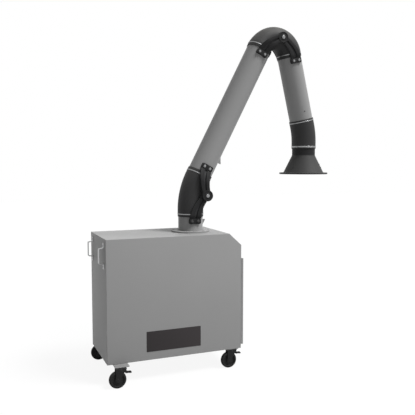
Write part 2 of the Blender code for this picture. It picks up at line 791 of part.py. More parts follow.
def make_rack():
    floor = cab_low + sheet + gap
    x0 = partition_x + sheet + gap
    x1 = half_width - sheet - rack_end
    out = rack_out
    rack = add_block("cell_rack", root, (x0, -out, floor), (x1, -out + rack_thick, rack_top),
                     steel)
    join(rack, add_block("rack_side", root, (x0, out - rack_thick, floor), (x1, out, rack_top)))
    for x in (x0, x1 - rack_tie):
        join(rack, add_block("rack_tie", root, (x, -out + rack_thick / 2, floor),
                             (x + rack_tie, out - rack_thick / 2, floor + rack_thick)))
    for z in tray_lows:
        for y0, y1 in ((-out + rack_thick / 2, -out + rack_thick + ledge_width),
                       (out - rack_thick - ledge_width, out - rack_thick / 2)):
            join(rack, add_block("ledge", root, (x0, y0, z - ledge_thick), (x1, y1, z)))


def make_tray(name, low, height, slots):
    x0 = partition_x + sheet + bay_margin
    x1 = half_width - sheet - rack_end
    out = rack_out - rack_thick - tray_side_gap
    z0 = low + gap
    z1 = z0 + height
    tray = add_block(name, root, (x0, -out, z0), (x1, out, z1), aluminium)
    pitch = (2 * (out - tray_frame) + tray_bar) / slots
    middle = (x0 + x1) / 2
    for i in range(slots):
        y = -out + tray_frame + pitch * i
        for a, b in ((x0 + tray_frame, middle - tray_tie / 2),
                     (middle + tray_tie / 2, x1 - tray_frame)):
            cut(tray, add_block("tray_slot", root, (a, y, z0 - overrun),
                                (b, y + pitch - tray_bar, z1 + overrun)))
    pull_x, pull_y, pull_z = tray_pull
    join(tray, add_block("tray_pull", root, (x1 - sheet, -pull_y / 2, z0 + sheet),
                         (x1 + pull_x, pull_y / 2, z0 + pull_z)))


# BLOWER COMPARTMENT
def scroll_outline(inset, outlet_y):
    points = [(outlet_y, fan_z + outlet_high - inset)]
    turn = 1.5 * pi + cutoff_angle
    for i in range(scroll_steps + 1):
        share = i / scroll_steps
        angle = pi / 2 + turn * share
        radius = scroll_large + (scroll_small - scroll_large) * share - inset
        points.append((radius * cos(angle), fan_z + radius * sin(angle)))
    points.append((outlet_y, fan_z + outlet_low + inset))
    return points


def make_blower():
    back = half_depth - sheet - gap
    x0, x1 = blower_x - blower_width / 2, blower_x + blower_width / 2
    housing = add_side_plate("blower_housing", root, scroll_outline(0, back), x0, x1, steel)
    spigot = add_rod("inlet_spigot", root, (x1 - scroll_wall / 2, 0, fan_z),
                     (partition_x + sheet, 0, fan_z), blower_inlet_radius, None, duct_sides)
    foot = add_block("blower_foot", root,
                     (x0 + 2 * scroll_wall, -blower_inlet_radius, cab_low + sheet + gap),
                     (x1 - 2 * scroll_wall, blower_inlet_radius,
                      cab_low + sheet + gap + blower_foot))
    hollow = add_side_plate("scroll_inside", root, scroll_outline(scroll_wall, back + overrun),
                            x0 + scroll_wall, x1 - scroll_wall)
    bore = add_rod("inlet_bore", root, (x1 - 2 * scroll_wall, 0, fan_z),
                   (partition_x + sheet + overrun, 0, fan_z),
                   blower_inlet_radius - scroll_wall, None, duct_sides)
    shaft_hole = add_rod("shaft_hole", root, (x0 - overrun, 0, fan_z),
                         (x0 + 2 * scroll_wall, 0, fan_z), shaft_hole_radius)
    cut(join(housing, spigot, foot), hollow, bore, shaft_hole)

    axis = make_frame("fan_axis", root, (blower_x - fan_width / 2, 0, fan_z))
    hub = [(fan_hub_radius, fan_hub_length), (fan_hub_radius, fan_plate), (fan_radius, fan_plate),
           (fan_radius, 0), (0, 0)]
    fan = add_turned("fan_wheel", axis, [(0, fan_hub_length)] + hub, aluminium, duct_sides,
                     along="X")
    ring = add_turned("fan_ring", axis,
                      [(fan_radius, fan_width), (fan_radius, fan_width - fan_plate),
                       (fan_radius - fan_ring_width, fan_width - fan_plate),
                       (fan_radius - fan_ring_width, fan_width)], None, duct_sides, along="X")
    blade_in = fan_radius - 2 * fan_ring_width
    for i in range(fan_blades):
        blade = add_block("fan_blade", axis, (fan_plate / 2, -fan_blade_thick / 2, 0),
                          (fan_width - fan_plate / 2, fan_blade_thick / 2, 2 * fan_ring_width))
        blade.data.transform(Matrix.Translation(blade.location))
        blade.data.transform(Matrix.Rotation(fan_blade_angle, 4, "X"))
        blade.data.transform(Matrix.Translation((0, 0, blade_in - fan_plate)))
        blade.data.transform(Matrix.Rotation(2 * pi * i / fan_blades, 4, "X"))
        blade.location = (0, 0, 0)
        join(fan, blade)
    join(fan, ring)
    motor_x1 = x0 - motor_end_gap
    shaft_end = motor_x1 - shaft_into_motor - (blower_x - fan_width / 2)
    join(fan, add_rod("fan_shaft", axis, (shaft_end, 0, 0), (fan_plate, 0, 0), shaft_radius))

    motor_x0 = motor_x1 - motor_length
    motor = add_turned("blower_motor", root,
                       [(0, motor_length), (motor_radius - motor_bell, motor_length),
                        (motor_radius, motor_length - motor_bell), (motor_radius, motor_bell),
                        (motor_radius - motor_bell, 0), (0, 0)], motor_paint, duct_sides,
                       (motor_x0, 0, fan_z), along="X")
    foot_x, foot_y, foot_z = motor_foot
    middle = (motor_x0 + motor_x1) / 2
    foot_low = fan_z - motor_radius - foot_z
    join(motor, add_block("motor_foot", root, (middle - foot_x / 2, -foot_y / 2, foot_low),
                          (middle + foot_x / 2, foot_y / 2, foot_low + 2 * foot_z)))
    cut(motor, add_rod("motor_bore", root, (motor_x1 - shaft_into_motor - overrun, 0, fan_z),
                       (motor_x1 + overrun, 0, fan_z), shaft_radius + turn_gap))
    floor = cab_low + sheet + gap
    mount = add_block("motor_mount", root, (middle - foot_x / 2, -foot_y / 2, floor),
                      (middle + foot_x / 2, foot_y / 2, foot_low - gap), steel)
    cut(mount, add_block("mount_hollow", root,
                         (middle - foot_x, -foot_y / 2 + mount_wall, floor + mount_wall),
                         (middle + foot_x, foot_y / 2 - mount_wall, foot_low - gap - mount_wall)))

    pack_x, pack_y, pack_z = power_pack_size
    high_x = partition_x - gap
    low_z = cab_high - power_pack_drop - pack_z
    pack = add_block("power_pack", root, (high_x - pack_x, -pack_y / 2, low_z),
                     (high_x, pack_y / 2, low_z + pack_z), motor_paint)
    pitch = pack_y / fin_count
    for i in range(fin_count):
        y = -pack_y / 2 + pitch * (i + 0.5)
        cut(pack, add_block("fin_gap", root, (high_x - pack_x - overrun, y - fin_width / 2,
                            low_z - overrun), (high_x - pack_x + fin_depth, y + fin_width / 2,
                            low_z + pack_z + overrun)))


def make_grille():
    x0, x1 = exhaust_low[0] - grille_margin, exhaust_high[0] + grille_margin
    z0, z1 = exhaust_low[2] - grille_margin, exhaust_high[2] + grille_margin
    face = half_depth + gap
    grille = add_block("exhaust_grille", root, (x0, face, z0), (x1, face + grille_thick, z1),
                       paint)
    pitch = (exhaust_high[2] - exhaust_low[2]) / grille_slots
    for i in range(grille_slots):
        z = exhaust_low[2] + pitch * (i + 0.5)
        half = pitch * grille_slot_share / 2
        cut(grille, add_block("grille_slot", root,
                              (exhaust_low[0] + grille_margin / 2, face - overrun, z - half),
                              (exhaust_high[0] - grille_margin / 2,
                               face + grille_thick + overrun, z + half)))


# ARM
swivel = make_frame("swivel_axis", root, (swivel_x, 0, cab_high))
shoulder = make_frame("shoulder_axis", swivel, (pivot_side, 0, shoulder_height))
boom = make_frame("boom_axis", shoulder, (0, 0, 0), boom_lean)
elbow = make_frame("elbow_axis", boom, (0, 0, boom_length))
forearm = make_frame("forearm_axis", elbow, (0, 0, 0), -boom_lean - forearm_lean)
wrist = make_frame("wrist_axis", forearm, (pivot_side, 0, -forearm_length))
hood = make_frame("hood_axis", wrist, (0, 0, 0), forearm_lean)


# The foot is below the pivot and the duct on its -X side, before the two flips.
def add_bracket(name, frame, side, inner_face, bored, flip_x=1, flip_z=1):
    boss_face = inner_face + bracket_thick
    arm_low, arm_face = inner_face + bracket_boss_rise, boss_face - bracket_boss_rise
    foot_low = -bracket_foot_place - bracket_foot_height / 2
    foot_high = foot_low + bracket_foot_height
    half = bracket_foot_width / 2
    left, right = -pivot_side - half, -pivot_side + half
    seat = (duct_radius ** 2 - half ** 2) ** 0.5 + bracket_foot_rise

    def knee(corner, target, shares):
        return (corner[0] + (target[0] - corner[0]) * shares[0],
                corner[1] + (target[1] - corner[1]) * shares[1])

    def arm_outline(inset, start):
        boss = bracket_boss_radius - inset
        a, b = (left + inset, foot_high), (-boss, 0)
        c, d = (right - inset, foot_high), (boss, 0)
        return [(a[0], start), (c[0], start), knee(c, d, inner_knee_shares), d, b,
                knee(a, b, outer_knee_shares)]

    def plate(label, points, near, far):
        points = [(x * flip_x, z * flip_z) for x, z in points]
        return add_plate(name + label, frame, points, *sorted((side * near, side * far)))

    def rod(label, x, z, near, far, radius, sides=bracket_sides):
        return add_rod(name + label, frame, (x * flip_x, side * near, z * flip_z),
                       (x * flip_x, side * far, z * flip_z), radius, None, sides)

    bracket = add_plate(name, frame, [(x * flip_x, z * flip_z) for x, z in arm_outline(
                        bracket_foot_rise, foot_high - bracket_rim)],
                        *sorted((side * arm_low, side * arm_face)), cast)
    foot = plate("_foot", [(left, foot_low), (right, foot_low), (right, foot_high),
                           (left, foot_high)], seat, arm_face + bracket_foot_rise)
    boss = rod("_boss", 0, 0, inner_face, boss_face, bracket_boss_radius)
    recess = plate("_recess", arm_outline(bracket_rim, foot_high + bracket_rim),
                   arm_face - bracket_recess, boss_face + overrun)
    cut(recess, rod("_crown", 0, 0, inner_face, boss_face + 2 * overrun,
                    bracket_boss_radius + gap))
    duct = add_rod(name + "_seat", frame,
                   (-pivot_side * flip_x, 0, flip_z * (foot_low - overrun)),
                   (-pivot_side * flip_x, 0, flip_z * (foot_high + overrun)),
                   duct_radius + gap, None, duct_sides)
    join(bracket, foot, boss)
    cut(bracket, recess, duct)
    for n in (-foot_bolt_spacing / 2, foot_bolt_spacing / 2):
        join(bracket, rod("_bolt", -pivot_side + n, -bracket_foot_place, arm_face,
                          arm_face + bracket_foot_rise + foot_bolt_height, foot_bolt_radius,
                          bolt_sides))
    if bored:
        cut(bracket, rod("_bore", 0, 0, inner_face - overrun, boss_face + overrun,
                         pivot_bolt_radius + turn_gap))
    return bracket


# The stud that the inner bracket carries through the outer one, with its bolt head.
def add_stud(bracket, frame, side):
    start = bracket_layer + bracket_thick / 2
    outer = bracket_outer_layer + bracket_thick + gap
    stud = add_rod("pivot_stud", frame, (0, side * start, 0), (0, side * (outer + gap), 0),
                   pivot_bolt_radius)
    head = add_rod("pivot_head", frame, (0, side * outer, 0),
                   (0, side * (outer + pivot_head_height), 0), pivot_head_radius, None,
                   bolt_sides, pivot_head_radius)
    join(bracket, stud, head)


def make_arm():
    bore = duct_radius + facet_gap
    lip = duct_radius + collar_lip_width
    add_turned("inlet_flange", swivel,
               [(bore, flange_thick), (flange_radius, flange_thick), (flange_radius, gap),
                (lip + facet_gap, gap), (lip + facet_gap, collar_lip_thick + 2 * gap),
                (bore, collar_lip_thick + 2 * gap)], paint)
    collar_top = shoulder_height - shoulder_duct_end
    inner = duct_radius - duct_wall
    collar = add_turned("swivel_collar", swivel,
                        [(duct_radius, collar_top), (duct_radius, collar_lip_thick),
                         (lip, collar_lip_thick), (lip, gap), (inner, gap), (inner, collar_top)],
                        paint)
    z = shoulder_height - collar_lug_place
    x = duct_radius - lug_sink
    reach, length = collar_lug
    join(collar, add_plate("collar_lug", swivel, [(x, z - length), (x + reach, z), (x, z)],
                           -lug_thick / 2, lug_thick / 2))

    boom_tube = add_tube("boom_tube", boom, duct_radius, duct_wall, shoulder_duct_end,
                         boom_length - elbow_duct_end, paint, (-pivot_side, 0, 0))
    x = -pivot_side + duct_radius - lug_sink
    reach, length = boom_lug
    join(boom_tube, add_plate("boom_lug", boom,
                              [(x, boom_lug_place), (x + reach, boom_lug_place),
                               (x, boom_lug_place + length)], -lug_thick / 2, lug_thick / 2))

    forearm_tube = add_tube("forearm_tube", forearm, duct_radius, duct_wall,
                            -forearm_length + hood_pivot_free, -elbow_duct_end, paint,
                            (pivot_side, 0, 0))

    for label, side in (("near", -1), ("far", 1)):
        outer = bracket_outer_layer
        add_stud(add_bracket("collar_bracket_" + label, shoulder, side, bracket_layer,
                             False), shoulder, side)
        add_bracket("boom_foot_bracket_" + label, boom, side, outer, True, 1, -1)
        add_bracket("boom_head_bracket_" + label, elbow, side, outer, True)
        add_stud(add_bracket("forearm_bracket_" + label, forearm, side, bracket_layer,
                             False, -1), forearm, side)

    add_hose("shoulder_hose", shoulder,
             bend_points(boom_lean, pivot_side, shoulder_free, collar_hose_reach,
                         boom_hose_reach, 4))
    add_hose("elbow_hose", elbow,
             bend_points(elbow_turn, pivot_side, elbow_free, elbow_hose_reach,
                         elbow_hose_reach, 9), elbow_pinch)
    add_hose("hood_hose", hood,
             bend_points(-forearm_lean, 0, hood_hose_free, hood_pivot_reach,
                         hood_pivot_reach, 3))
    add_band("shoulder_band_lower", shoulder, -pivot_side, -collar_band_place, -1)
    add_band("shoulder_band_upper", boom, -pivot_side, boom_band_place, -1)
    add_band("elbow_band_boom", elbow, -pivot_side, -elbow_band_place, -1)
    add_band("elbow_band_forearm", forearm, pivot_side, -elbow_band_place, 1)
    add_band("hood_band_upper", wrist, 0, hood_band_place, 1)
    add_band("hood_band_lower", hood, 0, -hood_band_place, 1)

    # The gimbal inside the hood's hose lets the hood tilt two ways.
    strap_out = gimbal_radius + gimbal_strap_clear + gimbal_strap_thick
    strap_in = gimbal_radius + gimbal_strap_clear
    half = gimbal_strap_width / 2
    tab_half = gimbal_tab_width / 2
    tab_top = hood_pivot_free + 2 * gimbal_tab_height
    tab_sink = duct_wall * 0.8
    hole = gimbal_pin_radius + turn_gap
    for side in (-1, 1):
        near, far = sorted((side * strap_in, side * strap_out))
        tab_near, tab_far = sorted((side * (strap_in + gap), side * (duct_radius - tab_sink)))
        strap = add_block("forearm_strap", wrist, (-half, near, -half),
                          (half, far, tab_top))
        tab = add_block("forearm_tab", wrist,
                        (-tab_half, tab_near, tab_top - gimbal_tab_height),
                        (tab_half, tab_far, tab_top - gap))
        join(forearm_tube, strap, tab)
        cut(forearm_tube, add_rod("strap_hole", wrist, (0, near - overrun, 0),
                                  (0, far + overrun, 0), hole))

    neck = duct_radius
    cone_z = -hood_neck_length
    rim_z = cone_z - hood_cone_height
    hood_shell = add_turned("hood", hood,
                            [(neck, -hood_pivot_free), (neck, cone_z), (hood_cone_radius, rim_z),
                             (hood_rim_radius, rim_z), (hood_rim_radius, rim_z - hood_rim_thick),
                             (hood_cone_radius - hood_wall, rim_z - hood_rim_thick),
                             (hood_cone_radius - hood_wall, rim_z - hood_wall / 2),
                             (neck - hood_wall, cone_z - hood_wall / 2),
                             (neck - hood_wall, -hood_pivot_free)], hood_plastic)
    for side in (-1, 1):
        near, far = sorted((side * strap_in, side * strap_out))
        tab_near, tab_far = sorted((side * (strap_in + gap), side * (neck - tab_sink)))
        strap = add_block("hood_strap", hood, (near, -half, -tab_top), (far, half, half))
        tab = add_block("hood_tab", hood, (tab_near, -tab_half, -tab_top + gap),
                        (tab_far, tab_half, -tab_top + gimbal_tab_height))
        join(hood_shell, strap, tab)
        cut(hood_shell, add_rod("strap_hole", hood, (near - overrun, 0, 0),
                                (far + overrun, 0, 0), hole))
    gimbal = add_tube("hood_gimbal", hood, gimbal_radius, gimbal_thick, -gimbal_height / 2,
                      gimbal_height / 2, steel)
    pin_in, pin_out = gimbal_radius - gimbal_thick / 2, strap_out + gimbal_strap_thick / 2
    for side in (-1, 1):
        join(gimbal, add_rod("gimbal_pin", hood, (0, side * pin_in, 0), (0, side * pin_out, 0),
                             gimbal_pin_radius),
             add_rod("gimbal_pin", hood, (side * pin_in, 0, 0), (side * pin_out, 0, 0),
                     gimbal_pin_radius))


make_cabinet()
make_base()
for place in caster_places():
    make_caster(*place)
make_handles()
make_door()
make_panel()
make_power_inlet()
make_partition()
make_rack()
for tray in zip(tray_names, tray_lows, tray_heights, tray_slots):
    make_tray(*tray)
make_blower()
make_grille()
make_arm()
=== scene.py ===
import json
from math import atan2, cos, pi, radians, sin, tan

import bpy
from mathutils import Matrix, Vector

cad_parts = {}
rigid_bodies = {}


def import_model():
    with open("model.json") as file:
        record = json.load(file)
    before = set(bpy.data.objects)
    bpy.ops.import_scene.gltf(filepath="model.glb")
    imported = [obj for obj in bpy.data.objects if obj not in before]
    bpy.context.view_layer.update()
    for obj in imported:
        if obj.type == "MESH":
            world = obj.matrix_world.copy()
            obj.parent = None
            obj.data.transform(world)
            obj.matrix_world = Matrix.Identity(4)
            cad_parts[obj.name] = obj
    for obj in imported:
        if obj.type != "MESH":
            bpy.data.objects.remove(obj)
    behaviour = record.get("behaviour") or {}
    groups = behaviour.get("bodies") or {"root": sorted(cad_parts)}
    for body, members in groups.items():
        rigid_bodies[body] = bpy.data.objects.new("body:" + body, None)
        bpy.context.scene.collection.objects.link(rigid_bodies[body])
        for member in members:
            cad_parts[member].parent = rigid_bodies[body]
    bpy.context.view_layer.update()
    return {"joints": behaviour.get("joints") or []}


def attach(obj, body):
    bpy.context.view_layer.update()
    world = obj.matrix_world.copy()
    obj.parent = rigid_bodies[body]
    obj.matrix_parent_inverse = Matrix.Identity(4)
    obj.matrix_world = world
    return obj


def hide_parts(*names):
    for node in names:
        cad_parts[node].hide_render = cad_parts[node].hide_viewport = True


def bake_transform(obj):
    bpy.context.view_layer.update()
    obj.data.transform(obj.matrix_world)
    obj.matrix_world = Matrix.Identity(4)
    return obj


# Looks of the mobile air cleaner: metres, +X to the right along the front, +Y to the back, +Z up.
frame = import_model()
jointAt = {joint["name"]: Vector(joint["pos_m"]) for joint in frame["joints"]}
corners = ("front_left", "back_left", "front_right", "back_right")
xAxis, yAxis, zAxis = 0, 1, 2
toLeft, toFront, toBack, up = (-1, 0, 0), (0, -1, 0), (0, 1, 0), (0, 0, 1)


# Small modelling helpers

def leave():
    bpy.ops.object.mode_set(mode="OBJECT")


def clearSelection():
    if bpy.context.object and bpy.context.object.mode != "OBJECT":
        leave()
    bpy.ops.object.select_all(action="DESELECT")


def takeUp(piece):
    clearSelection()
    piece.select_set(True)
    bpy.context.view_layer.objects.active = piece


def openMesh(piece, kind=None, action="SELECT"):
    takeUp(piece)
    bpy.ops.object.mode_set(mode="EDIT")
    if kind:
        bpy.ops.mesh.select_mode(type=kind)
    bpy.ops.mesh.select_all(action=action)


def settle(piece):
    takeUp(piece)
    bpy.ops.object.transform_apply(location=True, rotation=True, scale=True)
    return piece


def named(name):
    piece = bpy.context.object
    piece.name = piece.data.name = name
    return settle(piece)


def discard(*pieces):
    for piece in pieces:
        bpy.data.objects.remove(piece, do_unlink=True)


def addBlock(name, low, high):
    clearSelection()
    middle = [(a + b) / 2 for a, b in zip(low, high)]
    bpy.ops.mesh.primitive_cube_add(size=1, location=middle,
                                    scale=[abs(b - a) for a, b in zip(low, high)])
    return named(name)


# Two blocks, mirrored front to back
def addPair(name, low, high):
    (x0, y0, z0), (x1, y1, z1) = low, high
    return addBlock(name, (x0, -y1, z0), (x1, -y0, z1)), addBlock(name, low, high)


def pick(piece, test, kind="FACE"):
    openMesh(piece, kind, "DESELECT")
    leave()
    mesh = piece.data
    if kind == "FACE":
        for face in mesh.polygons:
            face.select = test(face.center, face.normal)
    elif kind == "EDGE":
        for edge in mesh.edges:
            a, b = (mesh.vertices[i].co for i in edge.vertices)
            edge.select = test((a + b) / 2, (b - a).normalized())
    else:
        for vertex in mesh.vertices:
            vertex.select = test(vertex.co)
    bpy.ops.object.mode_set(mode="EDIT")


def shift(piece, test, by, kind="FACE"):
    pick(piece, test, kind)
    bpy.ops.transform.translate(value=by)
    leave()


# Rounds the edges that run along one axis, or those of them whose middle passes a test
def roundAlong(piece, axis, width, segments, keep=lambda middle: True):
    pick(piece, lambda middle, along: abs(along[axis]) > 0.99 and keep(middle), "EDGE")
    bpy.ops.mesh.bevel(offset=width, segments=segments)
    leave()
    return piece


# Gives the face that looks up an axis a flat rim and a sunken middle
def sinkFace(piece, axis, rim, lip, depth):
    pick(piece, lambda centre, normal: normal[axis] > 0.9)
    bpy.ops.mesh.inset(thickness=rim, depth=0)
    bpy.ops.mesh.inset(thickness=lip, depth=-depth)
    leave()


def splitAt(piece, point, normal, **options):
    openMesh(piece)
    bpy.ops.mesh.bisect(plane_co=point, plane_no=normal, **options)
    leave()


def faceOut(piece):
    openMesh(piece)
    bpy.ops.mesh.remove_doubles(threshold=0.000005)
    bpy.ops.mesh.normals_make_consistent(inside=False)
    leave()
    return piece


# A ring is drawn on from height to height, so the profile runs as (radius, height).
def addTurned(name, profile, sides=64, closed=False):
    clearSelection()
    radius, height = profile[0]
    bpy.ops.mesh.primitive_circle_add(vertices=sides, radius=radius, location=(0, 0, height),
                                      fill_type="NOTHING" if closed else "NGON")
    piece = named(name)
    openMesh(piece, "EDGE")
    for nextRadius, nextHeight in profile[1:] + ([profile[0]] if closed else []):
        bpy.ops.mesh.extrude_edges_move(
            TRANSFORM_OT_translate={"value": (0, 0, nextHeight - height)})
        share = nextRadius / radius
        bpy.ops.transform.resize(value=(share, share, 1), center_override=(0, 0, nextHeight))
        radius, height = nextRadius, nextHeight
    if not closed:
        bpy.ops.mesh.edge_face_add()
    leave()
    return faceOut(piece)


# A profile carried on to the other side of height 0
def mirrored(profile):
    return profile + [(radius, -height) for radius, height in reversed(profile)]


def addRod(name, start, end, radius, sides=32):
    start, end = Vector(start), Vector(end)
    rod = addTurned(name, [(radius, 0), (radius, (end - start).length)], sides)
    return turnTo(rod, start, end - start)


# A strip in the XZ plane: each row is its two ends (x, z, and a lift along Y where it has one),
# and a grid is pulled into place.
def drawStrip(name, rows):
    clearSelection()
    last, size = len(rows) - 1, 4
    bpy.ops.mesh.primitive_grid_add(x_subdivisions=1, y_subdivisions=last, size=size,
                                    rotation=(pi / 2, 0, 0))
    strip = named(name)
    for row, ends in enumerate(rows):
        for side, (x, z, *lift) in enumerate(ends):
            here = Vector((size * (side - 0.5), 0, size * (row / last - 0.5)))
            shift(strip, lambda co: (co - here).length < 0.001,
                  (x - here.x, sum(lift), z - here.z), "VERT")
    return strip


# A point on the curve that starts and ends at the outer points and is pulled by those between
def curveAt(points, t):
    points = [Vector(point) for point in points]
    while len(points) > 1:
        points = [a.lerp(b, t) for a, b in zip(points, points[1:])]
    return points[0]


def thicken(piece, depth):
    pick(piece, lambda centre, normal: True)
    bpy.ops.mesh.extrude_region_move(TRANSFORM_OT_translate={"value": (0, depth, 0)})
    leave()
    return faceOut(piece)


def applyAll(piece):
    takeUp(piece)
    for modifier in list(piece.modifiers):
        bpy.ops.object.modifier_apply(modifier=modifier.name)
    return piece


def soften(piece, width, segments=3, angle=32):
    bevel = piece.modifiers.new("Bevel", "BEVEL")
    bevel.width = width
    bevel.segments = segments
    bevel.limit_method = "ANGLE"
    bevel.angle_limit = radians(angle)
    return applyAll(piece)


def addSoft(name, low, high, width, segments=2, angle=32):
    return soften(addBlock(name, low, high), width, segments, angle)


def carve(piece, *cutters):
    for cutter in cutters:
        cut = piece.modifiers.new("Cut", "BOOLEAN")
        cut.operation = "DIFFERENCE"
        cut.solver = "EXACT"
        cut.object = cutter
        applyAll(piece)
        discard(cutter)
    return piece


def gather(piece, *others):
    takeUp(piece)
    for other in others:
        other.select_set(True)
    bpy.ops.object.join()
    return piece


def twin(piece, name):
    other = piece.copy()
    other.data = piece.data.copy()
    other.name = other.data.name = name
    bpy.context.scene.collection.objects.link(other)
    return other


# Flipped about its own origin first, then turned about Y and moved
def place(piece, location, turn=0.0, flip=(1, 1, 1)):
    if flip != (1, 1, 1):
        piece.scale = flip
        faceOut(settle(piece))
    piece.rotation_euler = (0, turn, 0)
    piece.location = location
    return settle(piece)


# Turned so that its own Z looks along the normal, then moved
def turnTo(piece, location, normal):
    piece.rotation_euler = Vector(normal).to_track_quat("Z", "Y").to_euler()
    piece.location = location
    return settle(piece)


def smooth(piece):
    takeUp(piece)
    bpy.ops.object.shade_smooth_by_angle(angle=radians(35))
    return piece


# Shader helpers: a socket given as a value is linked, anything else is set

def feed(tree, value, socket):
    if hasattr(value, "links"):
        tree.links.new(value, socket)
    else:
        socket.default_value = value


def addNode(tree, kind, inputs=(), **settings):
    node = tree.nodes.new("ShaderNode" + kind)
    for label, value in settings.items():
        setattr(node, label, value)
    for label, value in dict(inputs).items():
        feed(tree, value, node.inputs[label])
    return node


def calculate(tree, operation, a, b):
    return addNode(tree, "Math", {0: a, 1: b}, operation=operation).outputs[0]


def plus(tree, a, b):
    return calculate(tree, "ADD", a, b)


def minus(tree, a, b):
    return calculate(tree, "SUBTRACT", a, b)


def times(tree, a, b):
    return calculate(tree, "MULTIPLY", a, b)


def mapped(tree, value, low, high, toLow=0.0, toHigh=1.0):
    return addNode(tree, "MapRange", {"Value": value, "From Min": low, "From Max": high,
                                      "To Min": toLow, "To Max": toHigh}).outputs["Result"]


def mixed(tree, factor, a, b):
    node = addNode(tree, "Mix", data_type="RGBA")
    sockets = [socket for socket in node.inputs if socket.enabled]
    for socket, value in zip(sockets, (factor, a, b)):
        feed(tree, value, socket)
    return [socket for socket in node.outputs if socket.enabled][0]


def noise(tree, scale, detail=3.0, stretch=None):
    coordinates = addNode(tree, "TexCoord").outputs["Object"]
    if stretch:
        coordinates = addNode(tree, "Mapping",
                              {"Vector": coordinates, "Scale": stretch}).outputs["Vector"]
    return addNode(tree, "TexNoise", {"Vector": coordinates, "Scale": scale,
                                      "Detail": detail}).outputs["Fac"]


# Camera, floor and lights

view = {"at": (-1.8455, -4.3125, 1.6180), "tilt": 85.517, "pan": -22.24, "lens": 50.19,
        "film": 36, "reach": 60}


def addToScene(name, data, rotation, location=(0, 0, 0)):
    thing = bpy.data.objects.new(name, data)
    thing.rotation_euler, thing.location = rotation, location
    bpy.context.scene.collection.objects.link(thing)
    return thing


cameraData = bpy.data.cameras.new("camera")
cameraData.lens, cameraData.sensor_width = view["lens"], view["film"]
cameraData.sensor_fit = "HORIZONTAL"
cameraData.clip_end = view["reach"]
bpy.context.scene.camera = addToScene(
    "camera", cameraData, (radians(view["tilt"]), 0, radians(view["pan"])), view["at"])
bpy.context.scene.view_settings.view_transform = "Standard"

light = {"sunFrom": (0.425, -0.350, 0.835), "sunLevel": 1.26, "sunSize": 22,
         "sky": (0.18, 0.72), "floorTone": 0.43, "floorWhite": 0.84, "floorGlow": 1.08,
         "floorSize": 40, "floorRough": 0.9, "floorGloss": 0.1}
sunData = bpy.data.lights.new("sun", "SUN")
sunData.energy = light["sunLevel"] * pi
sunData.angle = radians(light["sunSize"])
addToScene("sun", sunData, Vector(light["sunFrom"]).to_track_quat("Z", "Y").to_euler())


# 1 for rays that should see a white background: straight from the camera, or by gloss or glass
def seenRays(tree):
    path = addNode(tree, "LightPath").outputs
    total = path["Is Camera Ray"]
    for ray in ("Is Glossy Ray", "Is Transmission Ray"):
        total = calculate(tree, "MAXIMUM", total, path[ray])
    return total


world = bpy.data.worlds.new("world")
bpy.context.scene.world = world
world.use_nodes = True
tree = world.node_tree
# the soft sky is weaker on the left and stronger on the right
across = addNode(tree, "SeparateXYZ", {0: addNode(tree, "TexCoord").outputs["Generated"]})
sky = mapped(tree, across.outputs["X"], -1.0, 1.0, *light["sky"])
background = tree.nodes["Background"].inputs
feed(tree, (1, 1, 1, 1), background["Color"])
feed(tree, mapped(tree, seenRays(tree), 0.0, 1.0, sky, 1.0), background["Strength"])

clearSelection()
bpy.ops.mesh.primitive_plane_add(size=light["floorSize"])
floor = named("floor")
floorFinish = bpy.data.materials.new("floorFinish")
floorFinish.use_nodes = True
tree, tone = floorFinish.node_tree, light["floorTone"]
paint = tree.nodes["Principled BSDF"]
feed(tree, (tone, tone, tone, 1), paint.inputs["Base Color"])
feed(tree, light["floorRough"], paint.inputs["Roughness"])
feed(tree, light["floorGloss"], paint.inputs["Specular IOR Level"])
glow = addNode(tree, "Emission", {"Strength": light["floorGlow"]})
blendIn = addNode(tree, "MixShader", {"Fac": times(tree, seenRays(tree), light["floorWhite"]),
                                      1: paint.outputs["BSDF"], 2: glow.outputs["Emission"]})
feed(tree, blendIn.outputs["Shader"], tree.nodes["Material Output"].inputs["Surface"])
floor.data.materials.append(floorFinish)
print("stage set")


# Shared surface effects

def newGroup(name, inputs, outputs):
    group = bpy.data.node_groups.new(name, "ShaderNodeTree")
    for label, value in inputs.items():
        kind = "NodeSocketColor" if isinstance(value, tuple) else "NodeSocketFloat"
        socket = group.interface.new_socket(label, in_out="INPUT", socket_type=kind)
        socket.default_value = value
    for label, kind in outputs.items():
        group.interface.new_socket(label, in_out="OUTPUT", socket_type="NodeSocket" + kind)
    given = group.nodes.new("NodeGroupInput").outputs
    return group, given, group.nodes.new("NodeGroupOutput").inputs


effect = {"broad": 2.6, "broadShare": 0.65, "fineShare": 0.35, "toneRange": (0.3, 0.7),
          "spreadGain": 4.0, "wearAndSheenPatch": 38.0, "wearAndSheenRange": (0.35, 0.6, 0.55, 1.0),
          "dustAndSheenPatch": 14.0, "dustAndSheenRange": (0.3, 0.75, 0.4, 1.0), "dustAndSheenFacing": 0.2,
          "brushStretch": (1.0, 1.0, 14.0), "patternShare": 0.5, "patternRough": 0.25,
          "dustAndSheenRough": 0.3, "dustAndSheenColour": (0.34, 0.33, 0.31, 1), "spread": 0.06,
          "coatRoughness": 0.25, "bumpStrength": 0.6}

